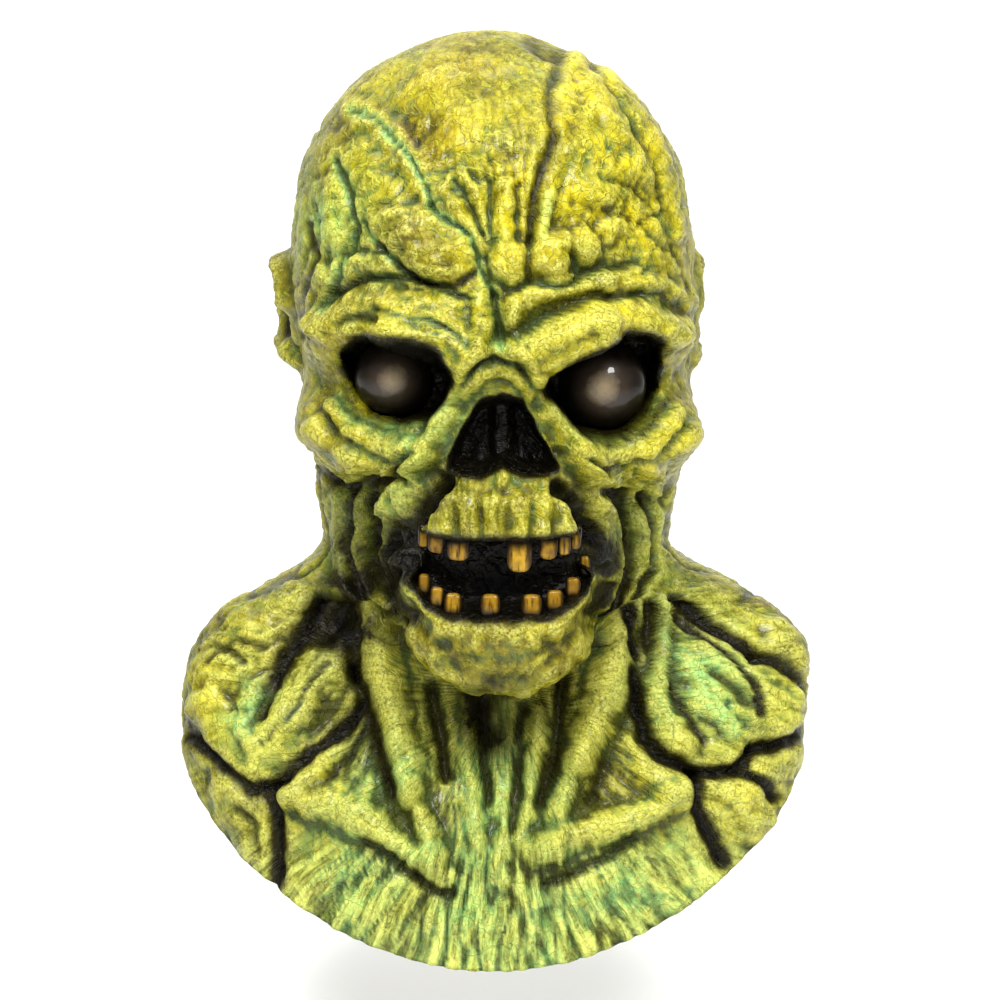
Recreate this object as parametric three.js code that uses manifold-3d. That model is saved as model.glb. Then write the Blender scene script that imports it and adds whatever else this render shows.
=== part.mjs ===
// A full-head latex ghoul mask with a short bust: one hollow latex skin, two set-in eyes and
// sixteen separate teeth.
//
// The frame has +Z up and the face looks along -Y, so +X is the mask's own left side. The origin
// is the crown seat, the point inside the skull on which the mask hangs on a head. Lengths are
// millimetres.
import * as THREE from "three";
import Module from "manifold-3d";
import { mergeVertices } from "three/addons/utils/BufferGeometryUtils.js";

// Driving dimensions of the skin
const WALL = 3;
const HEAD_HALF_WIDTH = 100;
const FACE_REACH = 112;
const OCCIPUT_REACH = 118;
const CHIN_DROP = 305;
const NECK_FLARE = 130;
const NAPE_REACH = 112;
const BUST_HALF_WIDTH = 160;
const CHEST_REACH = 92;
const BACK_REACH = 108;
const BIB_BELOW_CHIN = 141;
const EAR_DROP = 134;
const EAR_HEIGHT = 52;
const EAR_WIDTH = 30;
const RIGHT_EAR_RELIEF = 16;
const LEFT_EAR_RELIEF = 9;

// Driving dimensions of the eyes and their sockets
const EYE_SPACING = 97;
const EYE_SHIFT = -1;
const EYE_DROP = 166;
const EYE_STAGGER = 4; // the right eye sits this much above the left one
const RIGHT_EYE_RADIUS = 19;
const LEFT_EYE_RADIUS = 21.5;
const EYE_SETBACK = 23;
const EYE_BACK_FLAT = 0.3;
const SOCKET_MARGIN = 8;
const SOCKET_DEPTH = 22;

// Driving dimensions of the mouth and the teeth
const MOUTH_DROP = 250;
const MOUTH_HALF_WIDTH = 44;
const MOUTH_HALF_HEIGHT = 18.5;
const MOUTH_DEPTH = 22;
const CORNER_SHALLOWING = 0.35;
const LIP_SOFTNESS = 6;
const TOOTH_WIDTH = 9.4;
const TOOTH_HEIGHT = 9.2;
const TOOTH_THICKNESS = 5.4;
const TOOTH_ROOT = 3;
const GUM_LIP = 5;
const CORNER_GUM_LIP = 9;
const GUM_BACKING = 3;
const FIT_GAP = 0.3;

// Driving dimensions of the nose hole
const NOSE_DROP = 186;
const NOSE_HALF_WIDTH = 23;
const NOSE_HALF_HEIGHT = 20;
const NOSE_DEPTH = 18;
const NOSE_SOFTNESS = 7;
const SEPTUM_HALF_WIDTH = 6;
const SEPTUM_SHARE = 0.5;

// Facet counts round the skin and on the small solids
const COLUMNS = 60;
const FRONT_CROWDING = 0.55;
const COARSE_STEP = 2;
const DRAW_PASSES = 4;
const NEARBY = [-2, -1, 0, 1, 2];
const EYE_FACETS = 16;
const EYE_RINGS = 6;
const CUP_RINGS = 2;
const TOOTH_FACETS = 8;

const CROWN_TOP = WALL;
const CHIN_Z = CROWN_TOP - CHIN_DROP;
const MOUTH_Z = CROWN_TOP - MOUTH_DROP;

// The size sets that the section shares are taken of
const HEAD = { halfWidth: HEAD_HALF_WIDTH, front: FACE_REACH, back: OCCIPUT_REACH, top: CROWN_TOP, drop: CHIN_DROP };
const NECK = {
  halfWidth: NECK_FLARE,
  front: CHEST_REACH,
  back: NAPE_REACH,
  top: CHIN_Z,
  drop: BIB_BELOW_CHIN,
};
const BUST = { halfWidth: BUST_HALF_WIDTH, front: CHEST_REACH, back: BACK_REACH, top: CHIN_Z, drop: BIB_BELOW_CHIN };

// Degrees from the front at which the reach columns of a section are given
const AZIMUTHS = [0, 20, 40, 60, 90, 135, 180].map((degrees) => (degrees * Math.PI) / 180);

// Each ring of the skin from the crown to the cut edge. front, side and back are how far down it
// lies there, reach is how far out it lies at each azimuth, lean is its shift along X, all as
// shares of its size set, and steps is the number of facet rows from the section before it.
const SECTIONS = [
  { name: "crown", size: HEAD, front: 0, side: 0, back: 0, lean: -0.07, steps: 0, reach: [0, 0, 0, 0, 0, 0, 0] },
  { name: "top", size: HEAD, front: 0.026, side: 0.026, back: 0.026, lean: -0.07, steps: 2, reach: [0.36, 0.36, 0.36, 0.36, 0.36, 0.36, 0.36] },
  { name: "upper skull", size: HEAD, front: 0.095, side: 0.089, back: 0.082, lean: -0.055, steps: 2, reach: [0.66, 0.66, 0.665, 0.675, 0.685, 0.69, 0.68] },
  { name: "high forehead", size: HEAD, front: 0.197, side: 0.187, back: 0.174, lean: -0.045, steps: 2, reach: [0.845, 0.85, 0.86, 0.885, 0.905, 0.915, 0.9] },
  { name: "forehead", size: HEAD, front: 0.311, side: 0.298, back: 0.285, lean: -0.04, steps: 3, reach: [0.93, 0.94, 0.955, 0.975, 0.99, 1.01, 1] },
  { name: "above the brow", size: HEAD, front: 0.41, side: 0.397, back: 0.39, lean: -0.035, steps: 3, reach: [0.98, 0.985, 0.99, 0.995, 1.005, 1.02, 1.02] },
  { name: "brow", size: HEAD, front: 0.482, side: 0.475, back: 0.475, lean: -0.025, steps: 3, reach: [0.985, 0.98, 0.97, 0.975, 0.995, 1.01, 1] },
  { name: "eyes", size: HEAD, front: 0.554, side: 0.548, back: 0.548, lean: -0.02, steps: 3, reach: [0.93, 0.91, 0.9, 0.96, 0.97, 0.98, 0.97] },
  { name: "cheekbones", size: HEAD, front: 0.626, side: 0.62, back: 0.607, lean: -0.01, steps: 3, reach: [0.95, 0.93, 0.96, 1.05, 0.96, 0.95, 0.92] },
  { name: "nose base", size: HEAD, front: 0.692, side: 0.679, back: 0.659, lean: 0, steps: 3, reach: [0.97, 0.94, 0.86, 0.9, 0.94, 0.92, 0.86] },
  { name: "upper gum", size: HEAD, front: 0.764, side: 0.738, back: 0.705, lean: -0.02, steps: 3, reach: [1.04, 1, 0.8, 0.74, 0.91, 0.9, 0.81] },
  { name: "mouth", size: HEAD, front: 0.836, side: 0.79, back: 0.752, lean: -0.02, steps: 4, reach: [1.03, 0.98, 0.76, 0.7, 0.88, 0.88, 0.78] },
  { name: "lower gum", size: HEAD, front: 0.902, side: 0.83, back: 0.787, lean: -0.02, steps: 3, reach: [1.03, 0.98, 0.74, 0.68, 0.87, 0.88, 0.77] },
  { name: "chin", size: HEAD, front: 0.961, side: 0.856, back: 0.81, lean: -0.02, steps: 2, reach: [0.99, 0.94, 0.7, 0.66, 0.92, 0.89, 0.77] },
  { name: "jaw edge", size: HEAD, front: 1, side: 0.872, back: 0.836, lean: -0.01, steps: 2, reach: [0.88, 0.84, 0.66, 0.66, 1, 0.92, 0.775] },
  { name: "under the jaw", size: HEAD, front: 0.993, side: 0.895, back: 0.87, lean: 0, steps: 2, reach: [0.66, 0.65, 0.62, 0.68, 1.13, 0.99, 0.79] },
  { name: "throat", size: NECK, front: -0.014, side: -0.163, back: -0.163, lean: 0, steps: 2, reach: [0.6, 0.6, 0.61, 0.69, 1.02, 0.93, 0.855] },
  { name: "neck", size: NECK, front: 0.128, side: -0.085, back: -0.064, lean: 0, steps: 2, reach: [0.6, 0.62, 0.7, 0.83, 1.13, 1.03, 0.885] },
  { name: "collar", size: BUST, front: 0.305, side: 0.014, back: 0.043, lean: 0, steps: 3, reach: [0.7, 0.73, 0.79, 0.86, 0.98, 0.96, 0.95] },
  { name: "chest", size: BUST, front: 0.539, side: 0.142, back: 0.163, lean: -0.01, steps: 3, reach: [0.86, 0.88, 0.91, 0.95, 1, 1, 0.99] },
  { name: "bib", size: BUST, front: 0.78, side: 0.255, back: 0.326, lean: -0.02, steps: 3, reach: [0.95, 0.96, 0.97, 0.985, 1, 1, 1] },
  { name: "cut edge", size: BUST, front: 1, side: 0.369, back: 0.496, lean: -0.02, steps: 3, reach: [0.985, 0.99, 1, 1, 0.99, 1, 1] },
];

// Raised and sunk forms of the face: each is a rounded bar between two points of the front view.
// x, radius and push are shares of the head's half width, z is a share of its drop, and a
// positive push stands out.
const FACE_FORMS = [
  { name: "right brow, outer", x1: -0.8, z1: 0.482, x2: -0.45, z2: 0.462, radius: 0.22, push: 0.1 },
  { name: "right brow, inner", x1: -0.42, z1: 0.462, x2: -0.14, z2: 0.502, radius: 0.18, push: 0.13 },
  { name: "left brow, inner", x1: 0.14, z1: 0.502, x2: 0.4, z2: 0.462, radius: 0.18, push: 0.14 },
  { name: "left brow, outer", x1: 0.42, z1: 0.462, x2: 0.8, z2: 0.48, radius: 0.22, push: 0.09 },
  { name: "frown lump, middle", x1: 0.02, z1: 0.35, x2: 0.02, z2: 0.37, radius: 0.17, push: 0.05 },
  { name: "frown lump, left", x1: 0.24, z1: 0.338, x2: 0.3, z2: 0.332, radius: 0.17, push: 0.05 },
  { name: "frown lump, right", x1: -0.27, z1: 0.34, x2: -0.32, z2: 0.33, radius: 0.2, push: 0.05 },
  { name: "nose bridge", x1: -0.04, z1: 0.53, x2: 0, z2: 0.55, radius: 0.2, push: 0.05 },
  { name: "right cheekbone, outer", x1: -0.88, z1: 0.6, x2: -0.68, z2: 0.64, radius: 0.17, push: 0.04 },
  { name: "right cheekbone, front", x1: -0.64, z1: 0.646, x2: -0.38, z2: 0.636, radius: 0.16, push: 0.05 },
  { name: "left cheekbone, outer", x1: 0.86, z1: 0.61, x2: 0.68, z2: 0.642, radius: 0.17, push: 0.04 },
  { name: "left cheekbone, front", x1: 0.64, z1: 0.646, x2: 0.38, z2: 0.636, radius: 0.16, push: 0.05 },
  { name: "upper jaw", x1: -0.2, z1: 0.715, x2: 0.2, z2: 0.715, radius: 0.22, push: 0.05 },
  { name: "right cheek hollow", x1: -0.68, z1: 0.72, x2: -0.6, z2: 0.86, radius: 0.2, push: -0.1 },
  { name: "left cheek hollow", x1: 0.62, z1: 0.72, x2: 0.68, z2: 0.86, radius: 0.18, push: -0.07 },
  { name: "lower lip, right", x1: -0.44, z1: 0.82, x2: -0.26, z2: 0.9, radius: 0.12, push: 0.04 },
  { name: "lower lip, middle", x1: -0.22, z1: 0.905, x2: 0.22, z2: 0.905, radius: 0.12, push: 0.04 },
  { name: "lower lip, left", x1: 0.26, z1: 0.9, x2: 0.44, z2: 0.826, radius: 0.12, push: 0.04 },
];

// The same for the neck and the bust: x, radius and push are shares of the bust's half width, z
// is a share of its drop below the chin.
const BUST_FORMS = [
  { name: "right neck tendon, upper", x1: -0.36, z1: -0.1, x2: -0.29, z2: 0.27, radius: 0.12, push: 0.07 },
  { name: "right neck tendon, lower", x1: -0.28, z1: 0.29, x2: -0.17, z2: 0.62, radius: 0.1, push: 0.05 },
  { name: "left neck tendon, upper", x1: 0.33, z1: -0.06, x2: 0.25, z2: 0.34, radius: 0.12, push: 0.07 },
  { name: "left neck tendon, lower", x1: 0.24, z1: 0.36, x2: 0.14, z2: 0.64, radius: 0.1, push: 0.05 },
  { name: "throat hollow", x1: -0.01, z1: 0.08, x2: -0.01, z2: 0.48, radius: 0.12, push: -0.04 },
  { name: "right collarbone, outer", x1: -0.64, z1: 0.38, x2: -0.4, z2: 0.49, radius: 0.12, push: 0.045 },
  { name: "right collarbone, inner", x1: -0.38, z1: 0.5, x2: -0.15, z2: 0.65, radius: 0.11, push: 0.04 },
  { name: "left collarbone, inner", x1: 0.12, z1: 0.62, x2: 0.3, z2: 0.51, radius: 0.11, push: 0.04 },
  { name: "left collarbone, outer", x1: 0.32, z1: 0.5, x2: 0.56, z2: 0.38, radius: 0.12, push: 0.045 },
  { name: "hollow above the right collarbone", x1: -0.52, z1: 0.2, x2: -0.42, z2: 0.29, radius: 0.13, push: -0.04 },
  { name: "hollow above the left collarbone", x1: 0.46, z1: 0.18, x2: 0.4, z2: 0.29, radius: 0.13, push: -0.04 },
];

// The edges of the mouth and of the nose hole: x is a share of the half width, upper and lower
// are shares of the half height from the middle.
const MOUTH_EDGE = [
  { x: -1, upper: 0.4, lower: 0.35 },
  { x: -0.9, upper: 1.05, lower: -0.35 },
  { x: -0.72, upper: 1, lower: -0.85 },
  { x: -0.48, upper: 0.93, lower: -1.08 },
  { x: 0.5, upper: 0.93, lower: -1.08 },
  { x: 0.74, upper: 1, lower: -0.78 },
  { x: 0.9, upper: 0.95, lower: -0.4 },
  { x: 1, upper: 0.2, lower: 0.15 },
];
const NOSE_EDGE = [
  { x: -1, upper: -0.8, lower: -0.85 },
  { x: -0.5, upper: 0.15, lower: -1 },
  { x: -0.05, upper: 1, lower: -0.85 },
  { x: 0.5, upper: 0.1, lower: -1 },
  { x: 1, upper: -0.8, lower: -0.85 },
];

// Each tooth from the mask's right to its left: x is a share of the mouth's half width, the other
// columns are shares of the tooth sizes, and raise is how far it stands out of its gum.
const UPPER_TEETH = [
  { x: -0.8, width: 0.52, height: 0.85, raise: 0.1 },
  { x: -0.655, width: 0.82, height: 0.85, raise: 0.2 },
  { x: -0.428, width: 1.08, height: 0.95, raise: 0.3 },
  { x: 0.2, width: 1.2, height: 1.65, raise: 0.15 },
  { x: 0.5, width: 0.9, height: 1, raise: 0.25 },
  { x: 0.67, width: 0.62, height: 1, raise: 0.2 },
  { x: 0.8, width: 0.48, height: 0.9, raise: 0.1 },
];
const LOWER_TEETH = [
  { x: -0.915, width: 0.45, height: 0.75, raise: 0.1 },
  { x: -0.8, width: 0.6, height: 0.85, raise: 0.1 },
  { x: -0.66, width: 0.7, height: 0.9, raise: 0.1 },
  { x: -0.49, width: 0.85, height: 1, raise: 0.1 },
  { x: -0.1, width: 0.95, height: 0.95, raise: 0.2 },
  { x: 0.325, width: 1, height: 1, raise: 0.1 },
  { x: 0.575, width: 0.85, height: 0.9, raise: 0.1 },
  { x: 0.765, width: 0.75, height: 0.85, raise: 0.1 },
  { x: 0.91, width: 0.5, height: 0.9, raise: 0.1 },
];
// The outline of a tooth from the tip to the end of its root: out is a share of its half width,
// along runs from 0 at the tip to 1 at the gum line and 2 at the root's end.
const TOOTH_OUTLINE = [
  { out: 0, along: 0 },
  { out: 0.78, along: 0.04 },
  { out: 1, along: 0.26 },
  { out: 0.86, along: 1 },
  { out: 0.62, along: 2 },
  { out: 0, along: 2 },
];

const LATEX = new THREE.MeshStandardMaterial({ color: 0x9aa32a, roughness: 0.45, metalness: 0 });
const ACRYLIC = new THREE.MeshStandardMaterial({ color: 0x3a2f26, roughness: 0.08, metalness: 0 });
const ENAMEL = new THREE.MeshStandardMaterial({ color: 0xb07a1c, roughness: 0.2, metalness: 0 });

const wasm = await Module();
wasm.setup();

const clamp = (value, low, high) => Math.min(high, Math.max(low, value));
const smooth = (t) => t * t * (3 - 2 * t);
const mix = (a, b, t) => a + (b - a) * t;

// A closed geometry as a solid, and a solid as a geometry
function solidOf(geometry) {
  const bare = geometry.index ? geometry.toNonIndexed() : geometry.clone();
  bare.deleteAttribute("normal");
  bare.deleteAttribute("uv");
  const merged = mergeVertices(bare, 1e-4);
  const vertProperties = new Float32Array(merged.attributes.position.array);
  const triVerts = new Uint32Array(merged.index.array);
  return new wasm.Manifold(new wasm.Mesh({ numProp: 3, vertProperties, triVerts }));
}

function geometryOf(solid) {
  const mesh = solid.getMesh();
  const positions = [];
  for (let i = 0; i < mesh.numVert; i += 1) {
    positions.push(...mesh.vertProperties.subarray(i * mesh.numProp, i * mesh.numProp + 3));
  }
  const geometry = new THREE.BufferGeometry();
  geometry.setAttribute("position", new THREE.Float32BufferAttribute(positions, 3));
  geometry.setIndex(new THREE.BufferAttribute(mesh.triVerts, 1));
  geometry.computeVertexNormals();
  return geometry;
}

// A cubic curve through values at knots, level at both ends
function throughKnots(knots, values, at) {
  const last = knots.length - 1;
  const slope = (i) => (i <= 0 || i >= last ? 0 : (values[i + 1] - values[i - 1]) / (knots[i + 1] - knots[i - 1]));
  let i = 0;
  while (i < last - 1 && at > knots[i + 1]) i += 1;
  const span = knots[i + 1] - knots[i];
  const t = clamp((at - knots[i]) / span, 0, 1);
  const rise = values[i] * (2 * t ** 3 - 3 * t ** 2 + 1) + values[i + 1] * (3 * t ** 2 - 2 * t ** 3);
  return rise + span * (slope(i) * (t ** 3 - 2 * t ** 2 + t) + slope(i + 1) * (t ** 3 - t ** 2));
}

// A cubic through four evenly spaced values, between the middle two
function betweenRows(a, b, c, d, t) {
  const square = (2 * a - 5 * b + 4 * c - d) * t * t;
  const cube = (3 * b - a - 3 * c + d) * t ** 3;
  return 0.5 * (2 * b + (c - a) * t + square + cube);
}

// One section in millimetres: its depths, its lean and its reach across, to the front and to the back
function measured(section) {
  const { size } = section;
  return {
    depths: [section.front, section.side, section.back].map((share) => size.top - share * size.drop),
    lean: section.lean * size.halfWidth,
    across: section.reach.map((share) => share * size.halfWidth),
    ahead: section.reach.map((share) => share * size.front),
    behind: section.reach.map((share) => share * size.back),
  };
}

const RINGS = SECTIONS.map(measured);
const mirrored = (ring) => ({
  ...ring,
  across: ring.across.map((value) => -value),
  ahead: ring.ahead.map((value) => -value),
  behind: ring.behind.map((value) => -value),
});

function ringAt(row) {
  const last = RINGS.length - 1;
  const i = clamp(Math.floor(row), 0, last - 1);
  const ring = (k) => (k < 0 ? mirrored(RINGS[1]) : RINGS[Math.min(k, last)]);
  const four = [ring(i - 1), ring(i), ring(i + 1), ring(i + 2)];
  const blend = (pick) => betweenRows(...four.map(pick), row - i);
  const blendAll = (key) => four[0][key].map((_, column) => blend((r) => r[key][column]));
  return {
    depths: blendAll("depths"),
    lean: blend((r) => r.lean),
    across: blendAll("across"),
    ahead: blendAll("ahead"),
    behind: blendAll("behind"),
  };
}

// The plain skin, without its forms, at a row of the section table and an azimuth from the front
const EDGE_BOW = 1.7;
function plainSkin(row, azimuth) {
  const ring = ringAt(row);
  const turn = Math.abs(azimuth);
  const ahead = Math.cos(azimuth);
  const reach = throughKnots(AZIMUTHS, ahead > 0 ? ring.ahead : ring.behind, turn);
  const [front, side, back] = ring.depths;
  return new THREE.Vector3(
    ring.lean + throughKnots(AZIMUTHS, ring.across, turn) * Math.sin(azimuth),
    -reach * ahead,
    mix(side, ahead > 0 ? front : back, Math.abs(ahead) ** EDGE_BOW),
  );
}

// 1 on the line between two points, falling to 0 at the radius, level for as long as edge is short
function barWeight(x, z, bar) {
  const along = new THREE.Vector2(bar.x2 - bar.x1, bar.z2 - bar.z1);
  const from = new THREE.Vector2(x - bar.x1, z - bar.z1);
  const t = clamp(from.dot(along) / Math.max(along.lengthSq(), 1e-6), 0, 1);
  const distance = from.addScaledVector(along, -t).length() / bar.radius;
  return smooth(clamp((1 - distance) / (bar.edge ?? 1), 0, 1));
}

const inMillimetres = (size) => (form) => ({
  x1: form.x1 * size.halfWidth,
  x2: form.x2 * size.halfWidth,
  z1: size.top - form.z1 * size.drop,
  z2: size.top - form.z2 * size.drop,
  radius: form.radius * size.halfWidth,
  push: form.push * size.halfWidth,
});
const FACE_BARS = FACE_FORMS.map(inMillimetres(HEAD));
const BUST_BARS = BUST_FORMS.map(inMillimetres(BUST));

// The hollows that are carved straight back into the face: sockets are round, the mouth and the
// nose hole follow their edges
const EYES = [
  { name: "right_eye", x: EYE_SHIFT - EYE_SPACING / 2, z: CROWN_TOP - EYE_DROP + EYE_STAGGER / 2, radius: RIGHT_EYE_RADIUS },
  { name: "left_eye", x: EYE_SHIFT + EYE_SPACING / 2, z: CROWN_TOP - EYE_DROP - EYE_STAGGER / 2, radius: LEFT_EYE_RADIUS },
];
const SOCKETS = EYES.map((eye) => ({
  x1: eye.x - SOCKET_MARGIN / 3,
  x2: eye.x + SOCKET_MARGIN / 3,
  z1: eye.z,
  z2: eye.z,
  radius: eye.radius + SOCKET_MARGIN,
  edge: 0.5,
}));
const MOUTH = { z: MOUTH_Z, halfWidth: MOUTH_HALF_WIDTH, halfHeight: MOUTH_HALF_HEIGHT, rows: MOUTH_EDGE };
const NOSE = {
  z: CROWN_TOP - NOSE_DROP,
  halfWidth: NOSE_HALF_WIDTH,
  halfHeight: NOSE_HALF_HEIGHT,
  rows: NOSE_EDGE,
};

// Where a hole's edge runs at x, or null past its ends
function edgeAt(hole, x, side) {
  const share = x / hole.halfWidth;
  const i = hole.rows.findIndex((row, k) => k && share >= hole.rows[k - 1].x && share <= row.x);
  if (i < 0) return null;
  const [from, to] = [hole.rows[i - 1], hole.rows[i]];
  const t = (share - from.x) / (to.x - from.x);
  return hole.z + mix(from[side], to[side], t) * hole.halfHeight;
}

// How far a point of the front view lies inside a hole, negative outside it
function insideBy(hole, x, z) {
  const upper = edgeAt(hole, x, "upper");
  if (upper === null) return hole.halfWidth - Math.abs(x) - 1;
  return Math.min(upper - z, z - edgeAt(hole, x, "lower"));
}

// Ears stand out sideways from the head, in the view from the side
const EAR = {
  x1: 0,
  x2: EAR_WIDTH * 0.15,
  z1: CROWN_TOP - EAR_DROP + EAR_HEIGHT * 0.12,
  z2: CROWN_TOP - EAR_DROP - EAR_HEIGHT * 0.2,
  radius: EAR_WIDTH * 0.65,
  edge: 1,
};

const JAW_ROW = SECTIONS.findIndex((section) => section.name === "jaw edge");
const FRONT_FADE = 0.25;
const CHIN_FADE_ROWS = 0.6;

// How the soft forms and the eye sockets move a point of the plain skin
function softForms(plain, normal, row, azimuth) {
  const facing = clamp(Math.cos(azimuth) / FRONT_FADE, 0, 1);
  const { x, z } = plain;
  const onFace = row <= JAW_ROW + CHIN_FADE_ROWS;
  const sum = (bars) => bars.reduce((total, bar) => total + bar.push * barWeight(x, z, bar), 0);
  const move = normal.clone().multiplyScalar(facing * sum(onFace ? FACE_BARS : BUST_BARS));
  if (onFace) move.y += facing * Math.max(...SOCKETS.map((socket) => SOCKET_DEPTH * barWeight(x, z, socket)));
  return move;
}

// How the mouth, the nose hole and the ears move it: their edges stay crisp
function crispForms(plain, row, azimuth) {
  const facing = clamp(Math.cos(azimuth) / FRONT_FADE, 0, 1);
  const sideways = Math.abs(Math.sin(azimuth)) > 0.6 ? 1 : 0;
  const { x, y, z } = plain;
  if (row > JAW_ROW + CHIN_FADE_ROWS) return new THREE.Vector3();
  const mouthDepth = MOUTH_DEPTH * (1 - CORNER_SHALLOWING * Math.min(1, x / MOUTH_HALF_WIDTH) ** 2);
  const mouth = mouthDepth * smooth(clamp(insideBy(MOUTH, x, z) / LIP_SOFTNESS, 0, 1));
  const septum = 1 - SEPTUM_SHARE * smooth(clamp(1.5 - Math.abs(x) / SEPTUM_HALF_WIDTH, 0, 1));
  const nose = NOSE_DEPTH * smooth(clamp(insideBy(NOSE, x, z) / NOSE_SOFTNESS, 0, 1)) * septum;
  const earRelief = x > 0 ? LEFT_EAR_RELIEF : -RIGHT_EAR_RELIEF;
  return new THREE.Vector3(sideways * earRelief * barWeight(y, z, EAR), facing * Math.max(mouth, nose), 0);
}

// A grid of points round the skin: every row of facets from the crown, every column from the front
function azimuthOf(column) {
  const turn = (2 * Math.PI * column) / COLUMNS;
  const crowded = turn - FRONT_CROWDING * Math.sin(turn);
  return crowded > Math.PI ? crowded - 2 * Math.PI : crowded;
}

const ROWS = SECTIONS.flatMap((section, i) =>
  Array.from({ length: i ? section.steps : 1 }, (_, k) => (i ? i - 1 + (k + 1) / section.steps : 0)),
);
const LAST_ROW = ROWS.length - 1;
const wrap = (column) => (column + COLUMNS) % COLUMNS;
const gridOf = (pointAt) =>
  ROWS.map((row, i) => Array.from({ length: COLUMNS }, (_, column) => pointAt(row, azimuthOf(column), i, column)));

function normalsOf(grid, step) {
  return gridOf((row, azimuth, i, column) => {
    if (i === 0) return new THREE.Vector3(0, 0, 1);
    const round = grid[i][wrap(column + step)].clone().sub(grid[i][wrap(column - step)]);
    const down = grid[Math.min(i + step, LAST_ROW)][column].clone().sub(grid[Math.max(i - step, 0)][column]);
    return down.cross(round).normalize();
  });
}

const PLAIN = gridOf(plainSkin);
const PLAIN_NORMALS = normalsOf(PLAIN, 1);
const RAISED = gridOf((row, azimuth, i, column) =>
  softForms(PLAIN[i][column], PLAIN_NORMALS[i][column], row, azimuth),
);

// Latex rounds its forms off: each one is averaged with its neighbours round the skin and along it
function rounded(grid, alongRows) {
  return gridOf((row, azimuth, i, column) => {
    const before = alongRows ? grid[Math.max(i - 1, 0)][column] : grid[i][wrap(column - 1)];
    const after = alongRows ? grid[Math.min(i + 1, LAST_ROW)][column] : grid[i][wrap(column + 1)];
    return grid[i][column].clone().multiplyScalar(2).add(before).add(after).multiplyScalar(0.25);
  });
}

const ROUNDED = rounded(rounded(rounded(RAISED, false), true), false);
const OUTER = gridOf((row, azimuth, i, column) => {
  const plain = PLAIN[i][column];
  return plain.clone().add(ROUNDED[i][column]).add(crispForms(plain, row, azimuth));
});
const OUTER_NORMALS = normalsOf(OUTER, COARSE_STEP);

// The face's depth at a point of the front view, before anything is carved: the nearest grid
// points count most
function faceDepthAt(x, z) {
  let total = 0;
  let weights = 0;
  PLAIN.forEach((points, i) => {
    if (ROWS[i] > JAW_ROW) return;
    points.forEach((point, column) => {
      if (Math.cos(azimuthOf(column)) < 0.2) return;
      const weight = 1 / ((point.x - x) ** 2 + (point.z - z) ** 2 + 1) ** 3;
      total += weight * point.y;
      weights += weight;
    });
  });
  return total / weights;
}

// The inside at every point: a wall's thickness in, with a thicker bead where teeth are set
const INSIDE = gridOf((row, azimuth, i, column) => {
  const { x, z } = PLAIN[i][column];
  const nearGum = Math.cos(azimuth) > 0 && Math.abs(insideBy(MOUTH, x, z)) < 2 * LIP_SOFTNESS;
  const normal = OUTER_NORMALS[i][column];
  const wall = WALL + (nearGum ? GUM_BACKING : 0);
  const inside = OUTER[i][column].clone().addScaledVector(normal, -wall);
  if (i === 0 || i === LAST_ROW) return inside;
  for (const di of NEARBY) {
    for (const dc of NEARBY) {
      const neighbour = OUTER[clamp(i + di, 0, LAST_ROW)][wrap(column + dc)];
      inside.addScaledVector(normal, -Math.max(0, WALL - inside.distanceTo(neighbour)));
    }
  }
  return inside;
});

// Only every second point is built, so each is drawn further in until its facets clear the points
// that lie between
function drawnIn() {
  const inner = INSIDE.map((points) => points.map((point) => point.clone()));
  const built = (k) => k % COARSE_STEP === 0;
  for (let pass = 0; pass < DRAW_PASSES; pass += 1) {
    INSIDE.forEach((targets, i) => {
      if (i === 0 || i === LAST_ROW) return;
      targets.forEach((target, column) => {
        const rows = built(LAST_ROW - i) ? [i] : [i - 1, i + 1];
        const columns = built(column) ? [column] : [column - 1, column + 1].map(wrap);
        const corners = rows.flatMap((r) => columns.map((c) => inner[r][c]));
        const facet = corners.reduce((sum, corner) => sum.add(corner), new THREE.Vector3());
        const short = facet.divideScalar(corners.length).sub(target).dot(OUTER_NORMALS[i][column]);
        if (short <= 0) return;
        corners.forEach((corner) => corner.addScaledVector(OUTER_NORMALS[i][column], -short));
      });
    });
  }
  return inner;
}

function skinShell() {
  const points = [];
  const faces = [];
  const add = (point) => points.push(point) - 1;
  const outer = OUTER.slice(1).map((row) => row.map(add));
  const outerPole = add(OUTER[0][0]);
  const inner = [];
  const inside = drawnIn();
  for (let i = LAST_ROW; i > 0; i -= COARSE_STEP) {
    const ring = [];
    for (let column = 0; column < COLUMNS; column += COARSE_STEP) ring.push(add(inside[i][column]));
    inner.unshift(ring);
  }
  const innerPole = add(new THREE.Vector3(OUTER[0][0].x, 0, CROWN_TOP - WALL));
  const face = (a, b, c, flip) => faces.push(flip ? [a, c, b] : [a, b, c]);
  const skinOver = (rings, pole, flip) => {
    rings.forEach((ring, i) => {
      ring.forEach((a, column) => {
        const b = ring[(column + 1) % ring.length];
        if (i === 0) return face(pole, a, b, flip);
        const [c, d] = [rings[i - 1][column], rings[i - 1][(column + 1) % ring.length]];
        face(c, a, d, flip);
        return face(d, a, b, flip);
      });
    });
  };
  skinOver(outer, outerPole, false);
  skinOver(inner, innerPole, true);
  const outerEdge = outer.at(-1);
  inner.at(-1).forEach((a, k, edge) => {
    const b = edge[(k + 1) % edge.length];
    const fan = [0, 1, 2].map((step) => outerEdge[wrap(k * COARSE_STEP + step)]);
    face(fan[0], a, fan[1]);
    face(fan[1], a, b);
    face(fan[1], b, fan[2]);
  });
  const geometry = new THREE.BufferGeometry();
  geometry.setAttribute("position", new THREE.Float32BufferAttribute(points.flatMap((p) => p.toArray()), 3));
  geometry.setIndex(faces.flat());
  return solidOf(geometry);
}

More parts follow.
